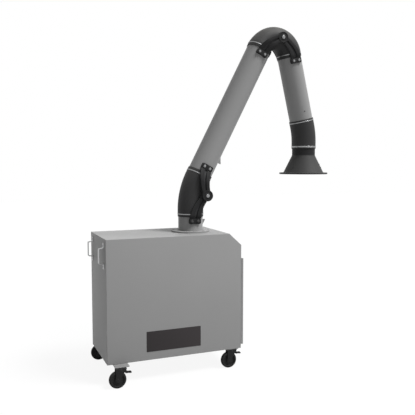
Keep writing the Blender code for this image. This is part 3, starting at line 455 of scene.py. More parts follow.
# Skin: broad tone, fine grain and roughness that varies with them
group, given, out = newGroup(
    "surfaceSkin", {"Colour": (0.5, 0.5, 0.5, 1), "Tone": 0.05, "Grain Scale": 600.0,
                    "Roughness": 0.5, "Roughness Spread": 0.08},
    {"Colour": "Color", "Roughness": "Float", "Height": "Float"})
fine = noise(group, given["Grain Scale"], 2.0)
broad = noise(group, effect["broad"], 4.0)
both = plus(group, times(group, broad, effect["broadShare"]),
            times(group, fine, effect["fineShare"]))
toneFactor = mapped(group, both, *effect["toneRange"], minus(group, 1.0, given["Tone"]),
                    plus(group, 1.0, given["Tone"]))
scaled = addNode(group, "VectorMath", {0: given["Colour"], "Scale": toneFactor},
                 operation="SCALE")
feed(group, scaled.outputs[0], out["Colour"])
spread = times(group, minus(group, both, 0.5), given["Roughness Spread"])
feed(group, plus(group, given["Roughness"], times(group, spread, effect["spreadGain"])),
     out["Roughness"])
feed(group, fine, out["Height"])

# Edge wear and painted highlight: corners made lighter, broken up by noise; on the cabinet's
# rounded folds this lightening paints a highlight
group, given, out = newGroup("edgeWearAndSheen", {"Start": 0.53, "Width": 0.05, "Amount": 0.5},
                             {"Mask": "Float"})
pointiness = addNode(group, "NewGeometry").outputs["Pointiness"]
corner = mapped(group, pointiness, given["Start"], plus(group, given["Start"], given["Width"]))
patchy = mapped(group, noise(group, effect["wearAndSheenPatch"], 5.0), *effect["wearAndSheenRange"])
feed(group, times(group, times(group, corner, patchy), given["Amount"]), out["Mask"])

# Dust and painted top light: what faces up is made lighter; on the hoses this paints the light on
# their upper side
group, given, out = newGroup("dustAndTopSheen", {"Amount": 0.2}, {"Mask": "Float"})
facing = addNode(group, "SeparateXYZ", {0: addNode(group, "NewGeometry").outputs["Normal"]})
upward = mapped(group, facing.outputs["Z"], effect["dustAndSheenFacing"], 1.0)
drift = mapped(group, noise(group, effect["dustAndSheenPatch"], 6.0), *effect["dustAndSheenRange"])
feed(group, times(group, times(group, upward, drift), given["Amount"]), out["Mask"])

# Brush: long fine lines left by rolling or grinding, drawn out across Z
group, given, out = newGroup("brushLines", {"Scale": 60.0}, {"Value": "Float"})
feed(group, noise(group, given["Scale"], 3.0, effect["brushStretch"]), out["Value"])

# Spangle: the crystal flakes of galvanised sheet
group, given, out = newGroup("spangle", {"Scale": 90.0}, {"Value": "Float"})
flakes = addNode(group, "TexVoronoi", {"Vector": addNode(group, "TexCoord").outputs["Object"],
                                       "Scale": given["Scale"]})
flakeTone = addNode(group, "SeparateColor", {0: flakes.outputs["Color"]})
feed(group, flakeTone.outputs[0], out["Value"])

finishes, slotOf = {}, {}


def useGroup(tree, name, inputs):
    return addNode(tree, "Group", inputs, node_tree=bpy.data.node_groups[name]).outputs


# One finish: skin, then wear with painted highlight (colour, amount, start) and dust with painted
# top light over it, then its grain's bump
def makeFinish(name, slot, colour, roughness, specular, tone, grain, bump, metallic=0.0,
               wearAndSheen=None, dustAndSheen=0.0, pattern=None, coat=0.0, anisotropy=0.0):
    finish = bpy.data.materials.new(name)
    finish.use_nodes = True
    tree = finish.node_tree
    skin = useGroup(tree, "surfaceSkin", {
        "Colour": (*colour, 1), "Tone": tone, "Grain Scale": grain, "Roughness": roughness,
        "Roughness Spread": effect["spread"]})
    colourOut, roughOut, heightOut = skin["Colour"], skin["Roughness"], skin["Height"]
    if pattern:
        patternName, scale, depth = pattern
        lines = useGroup(tree, patternName, {"Scale": scale})["Value"]
        darker = tuple(channel * (1 - depth) for channel in colour)
        share = times(tree, lines, effect["patternShare"])
        colourOut = mixed(tree, share, colourOut, (*darker, 1))
        rougher = times(tree, minus(tree, lines, 0.5), effect["patternRough"])
        roughOut = plus(tree, roughOut, rougher)
        heightOut = plus(tree, heightOut, lines)
    if wearAndSheen:
        wornAndLitColour, amount, start = wearAndSheen
        mask = useGroup(tree, "edgeWearAndSheen", {"Start": start, "Amount": amount})["Mask"]
        colourOut = mixed(tree, mask, colourOut, (*wornAndLitColour, 1))
    if dustAndSheen:
        mask = useGroup(tree, "dustAndTopSheen", {"Amount": dustAndSheen})["Mask"]
        colourOut = mixed(tree, mask, colourOut, effect["dustAndSheenColour"])
        roughOut = plus(tree, roughOut, times(tree, mask, effect["dustAndSheenRough"]))
    height = addNode(tree, "Bump", {"Strength": effect["bumpStrength"], "Distance": bump,
                                    "Height": heightOut})
    shader = tree.nodes["Principled BSDF"]
    for label, value in {"Metallic": metallic, "Specular IOR Level": specular,
                         "Coat Weight": coat, "Coat Roughness": effect["coatRoughness"],
                         "Anisotropic": anisotropy, "Base Color": colourOut,
                         "Roughness": roughOut, "Normal": height.outputs["Normal"]}.items():
        feed(tree, value, shader.inputs[label])
    finish.diffuse_color = (*colour, 1)
    finishes[name], slotOf[name] = finish, slot


def grey(level):
    return level, level, level


# name, slot, colour, roughness, specular, tone, grain, bump
# the cabinet's lighter corners (grey 0.36) are worn edges and also a painted highlight on its
# rounded folds
makeFinish("cabinetPaint", "cabinet_paint", grey(0.262), 0.48, 0.12, 0.02, 520, 0.00012,
           wearAndSheen=(grey(0.36), 0.5, 0.56), dustAndSheen=0.03)
# the door's paint is the cabinet's grey made darker: painted shade on the door's visible edge
makeFinish("doorShadedPaint", "cabinet_paint", grey(0.215), 0.48, 0.12, 0.02, 520, 0.00012,
           wearAndSheen=(grey(0.30), 0.5, 0.56))
makeFinish("platePaint", "plate_paint", grey(0.185), 0.5, 0.15, 0.03, 520, 0.0001,
           wearAndSheen=(grey(0.5), 0.5, 0.53))
makeFinish("ductPaint", "duct_paint", grey(0.245), 0.42, 0.2, 0.02, 560, 0.0001, dustAndSheen=0.03)
makeFinish("brightZinc", "zinc_steel", (0.31, 0.313, 0.317), 0.38, 0.5, 0.05, 300, 0.00005,
           metallic=1.0, pattern=("brushLines", 260, 0.25), anisotropy=0.3)
makeFinish("dullZinc", "zinc_steel", (0.50, 0.503, 0.507), 0.44, 0.5, 0.05, 300, 0.00005,
           metallic=0.8, pattern=("brushLines", 260, 0.25), anisotropy=0.3)
makeFinish("galvanised", "zinc_steel", (0.50, 0.51, 0.52), 0.42, 0.5, 0.06, 240, 0.00005,
           metallic=1.0, pattern=("spangle", 70, 0.4))
makeFinish("blackCast", "black_casting", (0.0125, 0.0125, 0.0130), 0.58, 0.18, 0.10, 900, 0.00022,
           wearAndSheen=((0.05, 0.05, 0.052), 0.4, 0.56), dustAndSheen=0.04)
makeFinish("blackSteel", "black_casting", (0.020, 0.020, 0.0205), 0.4, 0.5, 0.08, 700, 0.00008,
           wearAndSheen=(grey(0.12), 0.4, 0.53))
# the hose's large dust amount mostly paints the light on its upper side
makeFinish("hoseRubber", "hose_rubber", (0.020, 0.020, 0.0205), 0.62, 0.3, 0.10, 420, 0.00018,
           dustAndSheen=0.28)
makeFinish("hoodPlastic", "hood_plastic", grey(0.041), 0.62, 0.16, 0.05, 700, 0.00012, dustAndSheen=0.03)
makeFinish("neckPlastic", "hood_plastic", (0.017, 0.017, 0.0175), 0.55, 0.15, 0.06, 700, 0.00012)
makeFinish("casterSteel", "caster_steel", (0.010, 0.010, 0.0104), 0.5, 0.15, 0.08, 600, 0.00008,
           wearAndSheen=(grey(0.10), 0.35, 0.53))
makeFinish("wheelRubber", "wheel_rubber", grey(0.019), 0.7, 0.1, 0.12, 800, 0.00015, dustAndSheen=0.05)
makeFinish("wheelCore", "black_plastic", (0.018, 0.018, 0.0183), 0.5, 0.1, 0.06, 500, 0.00008)
makeFinish("bareAluminium", "bare_aluminium", (0.62, 0.63, 0.64), 0.36, 0.5, 0.05, 320, 0.00005,
           metallic=1.0, pattern=("brushLines", 180, 0.2), anisotropy=0.4)
makeFinish("machinePaint", "machine_paint", (0.06, 0.085, 0.125), 0.38, 0.5, 0.06, 380, 0.00012,
           wearAndSheen=((0.30, 0.31, 0.32), 0.6, 0.53), dustAndSheen=0.1, coat=0.2)
makeFinish("sealRubber", "seal_rubber", grey(0.018), 0.85, 0.15, 0.2, 1400, 0.0005)
makeFinish("blackPlastic", "black_plastic", (0.016, 0.016, 0.017), 0.36, 0.45, 0.05, 1100,
           0.00008)
makeFinish("badgeFace", "black_plastic", (0.030, 0.026, 0.027), 0.4, 0.2, 0.03, 260, 0.00003,
           pattern=("brushLines", 120, 0.1))
makeFinish("lampLens", "lamp_green", (0.02, 0.42, 0.09), 0.12, 0.6, 0.06, 180, 0.00002, coat=0.6)
print("finishes made:", len(finishes))


def dress(piece, finish):
    piece.data.materials.clear()
    piece.data.materials.append(finishes[finish])
    return piece


def mount(piece, body, finish, *standsFor):
    dress(smooth(piece), finish)
    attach(piece, body)
    if standsFor:
        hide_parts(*standsFor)
    return piece


# Screws and bolts: a low dome with a hexagon socket; radius, height and sides of each kind
boltSizes = {"handle": (0.0062, 0.0032, 28), "flange": (0.0058, 0.0034, 28),
             "panel": (0.0033, 0.0022, 24), "grille": (0.0036, 0.0021, 24),
             "forearm": (0.0052, 0.0028, 24), "hood": (0.0042, 0.0026, 24),
             "cone": (0.0048, 0.0026, 24)}


# One piece of bolts; a seat is where a bolt stands and the way it looks
def addBolts(kind, seats):
    radius, height, sides = boltSizes[kind]
    heads = []
    for at, normal in seats:
        head = addTurned(kind + "Screw", [
            (radius, 0), (radius, height * 0.45), (radius * 0.93, height * 0.75),
            (radius * 0.74, height * 0.94), (radius * 0.5, height)], sides)
        socket = addTurned(kind + "Socket", [(radius * 0.42, height * 0.45),
                                             (radius * 0.42, height * 1.5)], 6)
        heads.append(turnTo(carve(head, socket), at, normal))
    return gather(*heads)


# Cabinet

cabinet = {"low": (-0.97341, -0.269, 0.1535), "high": (0.09359, 0.269, 1.0675),
           "slopeRun": 0.102, "slopeDrop": 0.093, "sheet": 0.002, "sideFold": 0.0032,
           "topFold": 0.0027, "exhaust": ((-0.68791, 0.25, 0.435), (-0.52191, 0.28, 0.590)),
           "inlet": -0.229414, "inletRadius": 0.096, "gland": (-0.859914, 0.269, 0.2735),
           "glandRadius": 0.0127, "badge": ((-0.6774, -0.2704, 0.2155),
                                            (-0.2484, -0.26905, 0.3685))}
doorway = {"low": (0.06, -0.238, 0.2065), "high": (0.12, 0.238, 0.8425), "round": 0.012}


def cabinetForm(name, inset):
    low = [c + inset for c in cabinet["low"]]
    high = [c - inset for c in cabinet["high"]]
    form = addBlock(name, low, high)
    run, fall = cabinet["slopeRun"], cabinet["slopeDrop"]
    normal = Vector((fall, 0, run)).normalized()
    onSlope = Vector((cabinet["high"][0], 0, cabinet["high"][2] - fall)) - normal * inset
    splitAt(form, onSlope, normal, use_fill=True, clear_outer=True)
    roundAlong(form, zAxis, cabinet["sideFold"] - inset, 5)
    return soften(form, cabinet["topFold"] - inset, 4, 38)


def makeCabinet():
    skin = cabinetForm("cabinetSkin", 0.0)
    hollow = cabinetForm("cabinetHollow", cabinet["sheet"])
    way = roundAlong(addBlock("doorCut", doorway["low"], doorway["high"]), xAxis,
                     doorway["round"], 5)
    exhaust = addBlock("exhaustCut", *cabinet["exhaust"])
    x, top = cabinet["inlet"], cabinet["high"][2]
    inlet = addRod("inletCut", (x, 0, top - 0.0175), (x, 0, top + 0.0125),
                   cabinet["inletRadius"], 64)
    x, y, z = cabinet["gland"]
    gland = addRod("glandCut", (x, y - 0.009, z), (x, y + 0.011, z), cabinet["glandRadius"])
    carve(skin, hollow, way, exhaust, inlet, gland)
    mount(skin, "cabinet", "cabinetPaint", "cabinet_shell")

    # the badge on the front is left as a bare plate
    plate = roundAlong(addBlock("frontPlate", *cabinet["badge"]), yAxis, 0.002, 3)
    mount(soften(plate, 0.0003, 2), "cabinet", "badgeFace")


makeCabinet()

base = {"top": 0.1532, "thick": 0.006, "left": (-0.93041, -0.82341), "right": (-0.03141, 0.07559),
        "leftReach": 0.335, "rightReach": 0.263, "railPlace": 0.150, "railHalf": 0.025,
        "round": 0.006, "soft": 0.0008}


def makeBase():
    top, low = base["top"], base["top"] - base["thick"]
    parts = []
    for name, side in (("baseFrame", "left"), ("baseRight", "right")):
        (x0, x1), reach = base[side], base[side + "Reach"]
        plate = addBlock(name, (x0, -reach, low), (x1, reach, top))
        parts.append(soften(roundAlong(plate, zAxis, base["round"], 4), base["soft"], 2))
    start, end = base["left"][1] - 0.002, base["right"][0] + 0.002
    for y in (-base["railPlace"], base["railPlace"]):
        parts.append(addSoft("baseRail", (start, y - base["railHalf"], low + 0.0002),
                             (end, y + base["railHalf"], top - 0.0002), base["soft"]))
    mount(gather(*parts), "cabinet", "platePaint", "base_frame")


makeBase()
print("cabinet and base made")

# Push handles: a flat steel strip bent out twice, screwed on at its two feet
handle = {"face": -0.97371, "out": -1.01041, "top": 1.0365, "height": 0.190, "foot": 0.038,
          "strip": 0.005, "width": 0.032, "run": 0.006, "bend": 0.006, "places": (-0.199, 0.199),
          "screw": 0.018}


def offsetRows(path, half):
    rows, last = [], len(path) - 1
    for i, point in enumerate(path):
        a, b = point - path[max(i - 1, 0)], path[min(i + 1, last)] - point
        a, b = (a if a.length else b).normalized(), (b if b.length else a).normalized()
        side = Vector((-(a + b).y, (a + b).x)).normalized()
        reach = side * half / max(0.5, side.dot(Vector((-a.y, a.x))))
        rows.append([point - reach, point + reach])
    return rows


def roundPath(path, radius, steps=5):
    path = [Vector(point) for point in path]
    rounded = [path[0]]
    for a, p, b in zip(path, path[1:], path[2:]):
        u, v = (a - p).normalized(), (b - p).normalized()
        cut = radius / tan(u.angle(v) / 2)
        rounded += [curveAt((p + u * cut, p, p + v * cut), i / steps) for i in range(steps + 1)]
    return rounded + [path[-1]]


def makeHandles():
    half = handle["strip"] / 2
    face, out = handle["face"] - half, handle["out"]
    top, low = handle["top"], handle["top"] - handle["height"]
    foot, run = handle["foot"] - half, handle["run"]
    path = roundPath([(face, top), (face, top - foot), (out, top - foot - run),
                      (out, low + foot + run), (face, low + foot), (face, low)], handle["bend"])
    strip = thicken(drawStrip("pushHandle", offsetRows(path, half)), handle["width"])
    soften(strip, 0.0012, 3, 50)
    for label, y in zip(("front", "rear"), handle["places"]):
        grip = place(twin(strip, "pushHandle_" + label), (0, y - handle["width"] / 2, 0))
        mount(grip, "cabinet", "dullZinc", "push_handle_" + label)
        screws = addBolts("handle", [((handle["face"] - handle["strip"], y, z), toLeft)
                                     for z in (top - handle["screw"], low + handle["screw"])])
        mount(screws, "cabinet", "brightZinc").name = "handleScrews_" + label
    discard(strip)


makeHandles()
print("handles made")

# Door on the right side: a shallow folded pan with three hinge knuckles and two turn latches
door = {"low": (0.09389, -0.262, 0.1825), "high": (0.11559, 0.2756, 0.8665), "sheet": 0.002,
        "fold": 0.0022, "seal": 0.0034, "sealIn": 0.0015, "sealWide": 0.0075, "sealBack": 0.0080,
        "rim": 0.040, "lip": 0.004, "sunk": 0.0014, "knuckles": (0.2965, 0.5245, 0.7525),
        "hinge": (0.103086, 0.2701), "latchPlace": -0.202,
        "latchHeights": {"upper": 0.7565, "lower": 0.2925}}


def makeDoor():
    low, high, sheet = door["low"], door["high"], door["sheet"]
    pan = addBlock("door", (low[0] + door["seal"], low[1], low[2]), high)
    sinkFace(pan, xAxis, door["rim"], door["lip"], door["sunk"])
    near = 0.001
    pick(pan, lambda middle, along: middle.x > high[0] - near and any(
        abs(middle[axis] - end[axis]) < near for end in (low, high) for axis in (yAxis, zAxis)),
         "EDGE")
    bpy.ops.mesh.bevel(offset=door["fold"], segments=5)
    leave()
    hollow = addBlock("doorHollow", (low[0] - 0.005, low[1] + sheet, low[2] + sheet),
                      (high[0] - sheet - door["sunk"], high[1] - sheet, high[2] - sheet))
    holes = [addRod("latchHole", (high[0] - 0.008, door["latchPlace"], z),
                    (high[0] + 0.004, door["latchPlace"], z), 0.0066, 24)
             for z in door["latchHeights"].values()]
    carve(pan, hollow, *holes)
    barrels = [place(addTurned("knuckle", mirrored([(0.0048, -0.0298), (0.0055, -0.0292)]), 24),
                     (*door["hinge"], z)) for z in door["knuckles"]]
    mount(gather(pan, *barrels), "door", "doorShadedPaint", "access_door")
    edge, back, wide = door["sealIn"], door["sealBack"], door["sealWide"]
    seal = addBlock("doorSeal", (low[0], low[1] + edge, low[2] + edge),
                    (low[0] + door["seal"] - 0.0002, high[1] - back, high[2] - edge))
    inside = addBlock("sealInside", (low[0] - 0.01, low[1] + edge + wide, low[2] + edge + wide),
                      (low[0] + 0.01, high[1] - back * 2, high[2] - edge - wide))
    mount(soften(carve(seal, inside), 0.0008, 2, 50), "door", "sealRubber")

    for label, z in door["latchHeights"].items():
        disc = addTurned("doorLatch_" + label, [
            (0.006, -0.0302), (0.006, 0.0003), (0.0165, 0.0003), (0.017, 0.0008),
            (0.017, 0.0030), (0.0158, 0.0043), (0.0115, 0.0047)], 48)
        wing = addBlock("latchWing", (-0.023, -0.005, 0.003), (0.023, 0.005, 0.0163))
        roundAlong(wing, zAxis, 0.0046, 6)
        pick(wing, lambda centre, normal: normal.z > 0.9)
        bpy.ops.transform.resize(value=(0.86, 0.62, 1), center_override=(0, 0, 0.0163))
        leave()
        soften(wing, 0.0012, 3, 40)
        cam = addBlock("latchCam", (-0.007, -0.007, -0.0320), (0.046, 0.007, -0.0290))
        cam = soften(roundAlong(cam, zAxis, 0.0055, 5), 0.0004, 2)
        latch = place(gather(disc, wing, cam), (0, 0, 0), pi / 2)
        place(latch, (high[0], door["latchPlace"], z), 0.0, (1, 1, -1))
        mount(latch, "latch_" + label, "blackPlastic", "door_latch_" + label)


makeDoor()

# Control panel on the slope: its face frame is turned down the slope
panel = {"at": (0.042586, 0, 1.021), "tilt": radians(42.36), "width": 0.066, "length": 0.220,
         "thick": 0.0155, "foot": 0.0003, "pocket": 0.012, "switch": -0.050, "lamp": 0.050,
         "rest": radians(-8), "screwIn": 0.012}


def makePanel():
    foot, inset = panel["foot"], panel["screwIn"]
    wide, length, thick = panel["width"] / 2, panel["length"] / 2, panel["thick"] + foot
    box = addBlock("controlPanel", (-wide, -length, foot), (wide, length, thick))
    roundAlong(box, zAxis, 0.009, 6)
    sinkFace(box, zAxis, 0.006, 0.0012, 0.0012)
    soften(box, 0.0011, 3, 40)
    y = panel["switch"]
    pocket = addBlock("switchPocket", (-0.017, y - 0.0113, thick - panel["pocket"]),
                      (0.017, y + 0.0113, thick + 0.004))
    lampHole = addRod("lampHole", (0, panel["lamp"], thick - 0.0103),
                      (0, panel["lamp"], thick + 0.004), 0.0053)
    spots = [(x, end) for x in (-wide + inset, wide - inset)
             for end in (-length + inset, length - inset)]
    screwHoles = [addRod("screwHole", (*spot, thick - 0.004), (*spot, thick + 0.003), 0.0036, 24)
                  for spot in spots]
    carve(box, pocket, lampHole, *screwHoles)
    bezel = addBlock("switchBezel", (-0.0205, y - 0.0148, thick - 0.0014),
                     (0.0205, y + 0.0148, thick + 0.0010))
    window = addBlock("bezelWindow", (-0.0171, y - 0.0114, thick - 0.003),
                      (0.0171, y + 0.0114, thick + 0.003))
    bezel = soften(carve(bezel, window), 0.0006, 2, 50)
    collar = addTurned("lampCollar", [
        (0.0054, -0.0014), (0.0106, -0.0014), (0.0106, 0.0002), (0.0096, 0.0010),
        (0.0086, 0.0010), (0.0086, 0.0001), (0.0054, 0.0001)], 48, True)
    place(collar, (0, panel["lamp"], thick))
    place(gather(box, bezel, collar), panel["at"], panel["tilt"])
    mount(box, "cabinet", "blackPlastic", "control_panel")
    screws = addBolts("panel", [((*spot, thick - 0.0039), up) for spot in spots])
    mount(place(screws, panel["at"], panel["tilt"]), "cabinet", "brightZinc")

    # the rocker: two flats that meet in a shallow valley over its pin
    rocker = addBlock("powerSwitch", (-0.014, -0.011, -0.0034), (0.014, 0.011, 0.0066))
    splitAt(rocker, (0, 0, 0), (1, 0, 0))
    shift(rocker, lambda middle, along: abs(middle.x) < 0.0001 and middle.z > 0.006,
          (0, 0, -0.0014), "EDGE")
    soften(rocker, 0.0009, 3, 40)
    ribs = [addSoft("rockerRib", (x - 0.0004, -0.008, 0.0048), (x + 0.0004, 0.008, 0.00655),
                    0.0003) for x in (-0.0095, -0.0075, -0.0055)]
    gather(rocker, addRod("rockerPin", (0, -0.014, 0), (0, 0.014, 0), 0.002, 20), *ribs)
    place(rocker, (0, y, thick - panel["pocket"] / 2), panel["rest"])
    mount(place(rocker, panel["at"], panel["tilt"]), "switch", "blackPlastic", "power_switch")

    lens = addTurned("pilotLamp", [
        (0.0050, -0.0098), (0.0050, 0.0003), (0.0080, 0.0003), (0.0080, 0.0022),
        (0.0076, 0.0040), (0.0064, 0.0058), (0.0044, 0.0072), (0.0020, 0.0079)], 48)
    place(lens, (0, panel["lamp"], thick))
    mount(place(lens, panel["at"], panel["tilt"]), "cabinet", "lampLens", "pilot_lamp")


makePanel()

# Back: the gland where the mains enters, and the slotted exhaust grille
grille = {"x": (-0.70791, -0.50191), "z": (0.415, 0.610), "y": (0.2693, 0.2733),
          "slotX": (-0.67791, -0.53191), "firstSlot": 0.435, "pitch": 0.025833, "slots": 6,
          "slotHalf": 0.0071, "slotRound": 0.0068, "screwIn": 0.010}
glandRibs = 12


def makeBack():
    bore = addTurned("powerInlet", [
        (0.006, -0.015), (0.012, -0.015), (0.012, 0.010), (0.0130, 0.0105), (0.0158, 0.0125),
        (0.0158, 0.0215), (0.0142, 0.0245), (0.0098, 0.0290), (0.0080, 0.0300),
        (0.006, 0.0300)], 48, True)
    nut = addTurned("glandNut", [(0.012, 0.0003), (0.0196, 0.0003), (0.020, 0.0008),
                                 (0.020, 0.0072), (0.0188, 0.0080), (0.012, 0.0080)], 6, True)
    ribs = []
    for n in range(glandRibs):
        rib = addSoft("glandRib", (0.0150, -0.0012, 0.0132), (0.0166, 0.0012, 0.0212), 0.0005)
        rib.rotation_euler = (0, 0, 2 * pi * n / glandRibs)
        ribs.append(settle(rib))
    inlet = turnTo(gather(bore, nut, *ribs), cabinet["gland"], toBack)
    mount(inlet, "cabinet", "blackPlastic", "power_inlet")

    (x0, x1), (z0, z1), (y0, y1) = grille["x"], grille["z"], grille["y"]
    plate = addBlock("exhaustGrille", (x0, y0, z0), (x1, y1, z1))
    soften(roundAlong(plate, yAxis, 0.006, 5), 0.001, 3, 40)
    slots = []
    for n in range(grille["slots"]):
        z = grille["firstSlot"] + grille["pitch"] * (n + 0.5)
        slot = addBlock("grilleSlot", (grille["slotX"][0], y0 - 0.004, z - grille["slotHalf"]),
                        (grille["slotX"][1], y1 + 0.004, z + grille["slotHalf"]))
        slots.append(roundAlong(slot, yAxis, grille["slotRound"], 6))
    mount(carve(plate, *slots), "cabinet", "cabinetPaint", "exhaust_grille")
    inset = grille["screwIn"]
    mount(addBolts("grille", [((x, y1 - 0.0001, z), toBack) for x in (x0 + inset, x1 - inset)
                              for z in (z0 + inset, (z0 + z1) / 2, z1 - inset)]),
          "cabinet", "brightZinc")


makeBack()
print("door, panel and back made")

# Arm: the frames of its pivots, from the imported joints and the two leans
arm = {"side": 0.096, "boomLean": radians(27.5), "foreLean": radians(-13.4), "duct": 0.0975,
       "wall": 0.0015, "boomLength": 1.431, "foreLength": 0.812, "ductSides": 96,
       "flangeScrews": 8, "flangeRing": 0.139, "boomEnds": (0.124, 0.137),
       "foreEnds": (-0.727, -0.137), "collarSeam": (0.014, 0.156), "lugIn": 0.0008,
       "collarLug": (0.094, 0.028, -0.055), "boomLug": (0.292, 0.032, 0.062),
       "stopIn": 0.009, "stopHeight": -0.619}
shoulderAt, elbowAt = jointAt["shoulder_fold"], jointAt["elbow_fold"]
hoodAt = jointAt["hood_tilt"]
swivelAt = Vector((shoulderAt.x - arm["side"], 0, cabinet["high"][2]))


def addSeam(name, low, high):
    outer = arm["duct"]
    return addSoft(name + "Seam", (-0.004, outer - 0.0009, low), (0.004, outer + 0.0006, high),
                   0.0005)


def addDuct(name, low, high, side):
    outer, inner = arm["duct"], arm["duct"] - arm["wall"]
    tube = addTurned(name, [(inner, low), (outer - 0.0003, low), (outer, low + 0.0004),
                            (outer, high - 0.0004), (outer - 0.0003, high), (inner, high)],
                     arm["ductSides"], True)
    return place(gather(tube, addSeam(name, low + 0.002, high - 0.002)), (side, 0, 0))


# A stay lug: a triangle of plate with a blunt corner, from its base to its tip
def addLug(x, base, reach, length):
    rows = []
    for along, out in ((0.0, 0.97), (0.05, 1.0), (0.11, 0.97), (0.2, 0.86), (1.0, 0.03)):
        z = base + length * along
        rows.append([(x, z), (x + reach * out, z)])
    lug = thicken(drawStrip("stayLug", rows), 0.005)
    return soften(place(lug, (0, -0.0025, 0)), 0.0007, 2, 40)


# Pivot straps inside a duct's end, with the tabs that hold them to its wall
strapForm = {"half": 0.014, "end": 0.113, "near": 0.0788, "far": 0.0828, "bore": 0.0056,
             "tabHalf": 0.008, "tab": (0.099, 0.1127), "tabNear": 0.0791, "tabFar": 0.0963}


def addStraps(name):
    form = strapForm
    half, tabHalf, (tabLow, tabHigh) = form["half"], form["tabHalf"], form["tab"]
    parts = []
    for strap in addPair(name + "Strap", (-half, form["near"], -half),
                         (half, form["far"], form["end"])):
        roundAlong(strap, yAxis, 0.012, 6)
        hole = addRod("strapHole", (0, -0.1, 0), (0, 0.1, 0), form["bore"], 24)
        parts.append(soften(carve(strap, hole), 0.0006, 2, 40))
    for tab in addPair(name + "Tab", (-tabHalf, form["tabNear"], tabLow),
                       (tabHalf, form["tabFar"], tabHigh)):
        parts.append(soften(tab, 0.0008, 2))
    return gather(*parts)


def makeDucts():
    side, lean, foreLean = arm["side"], arm["boomLean"], arm["foreLean"]
    outer, inner = arm["duct"], arm["duct"] - arm["wall"]
    flange = addTurned("inletFlange", [
        (0.1107, 0.0003), (0.1526, 0.0003), (0.153, 0.0008), (0.153, 0.0104), (0.1518, 0.0117),
        (0.1505, 0.012), (0.1012, 0.012), (0.1000, 0.0117), (0.0992, 0.0105), (0.0990, 0.0058),
        (0.1107, 0.0058)], 128, True)
    mount(place(flange, swivelAt), "cabinet", "cabinetPaint", "inlet_flange")
    seats = []
    for n in range(arm["flangeScrews"]):
        angle = 2 * pi * (n + 0.5) / arm["flangeScrews"]
        spot = Vector((arm["flangeRing"] * cos(angle), arm["flangeRing"] * sin(angle), 0.0118))
        seats.append((swivelAt + spot, up))
    mount(addBolts("flange", seats), "cabinet", "cabinetPaint")

    collar = addTurned("swivelCollar", [
        (inner, 0.0003), (0.1092, 0.0003), (0.1095, 0.0008), (0.1095, 0.0044), (0.1090, 0.005),
        (outer + 0.0012, 0.005), (outer + 0.0003, 0.0054), (outer, 0.0064), (outer, 0.1636),
        (outer - 0.0004, 0.164), (inner, 0.164)], arm["ductSides"], True)
    wallAt = outer - arm["lugIn"]
    gather(collar, addSeam("collar", *arm["collarSeam"]), addLug(wallAt, *arm["collarLug"]))
    mount(place(collar, swivelAt), "swivel", "ductPaint", "swivel_collar")

    low, short = arm["boomEnds"]
    boomTube = addDuct("boomTube", low, arm["boomLength"] - short, -side)
    gather(boomTube, addLug(wallAt - side, *arm["boomLug"]))
    mount(place(boomTube, shoulderAt, lean), "boom", "ductPaint", "boom_tube")

    foreTube = addDuct("forearmTube", *arm["foreEnds"], side)
    gather(foreTube, place(addStraps("forearm"), (side, 0, -arm["foreLength"])))
    mount(place(foreTube, elbowAt, foreLean), "forearm", "ductPaint", "forearm_tube")
    stops = addBolts("forearm", [((side - arm["stopIn"], y * wallAt, arm["stopHeight"]),
                                  (0, y, 0)) for y in (-1, 1)])
    mount(place(stops, elbowAt, foreLean), "forearm", "blackSteel")


makeDucts()
print("ducts made")

# Cast bracket in its pivot's frame: foot below, duct on the left, outward is front (-Y).
# Its edges are curves (start, pull, end) that run from the foot to the boss.
# It stands on the duct, and past the hose it rises to its layer at the pivot.
bracket = {"outer": ((-0.1415, -0.180), (-0.1400, -0.098), (-0.044, 0.0)),
           "inner": ((-0.0470, -0.180), (-0.0480, -0.078), (0.044, 0.0)), "rib": 0.036,
           "layers": {"inner": 0.105, "outer": 0.1208}, "thick": 0.0155, "boss": 0.044,
           "foot": ((-0.143, -0.220), (-0.047, -0.178)), "footFace": 0.1075, "footIn": 0.080,
           "rise": {"inner": -0.155, "outer": -0.085}, "web": 0.003, "bore": 0.0096,
           "bolts": (-0.121, -0.071), "boltHeight": -0.199, "lobeIn": 0.088, "steps": 20}


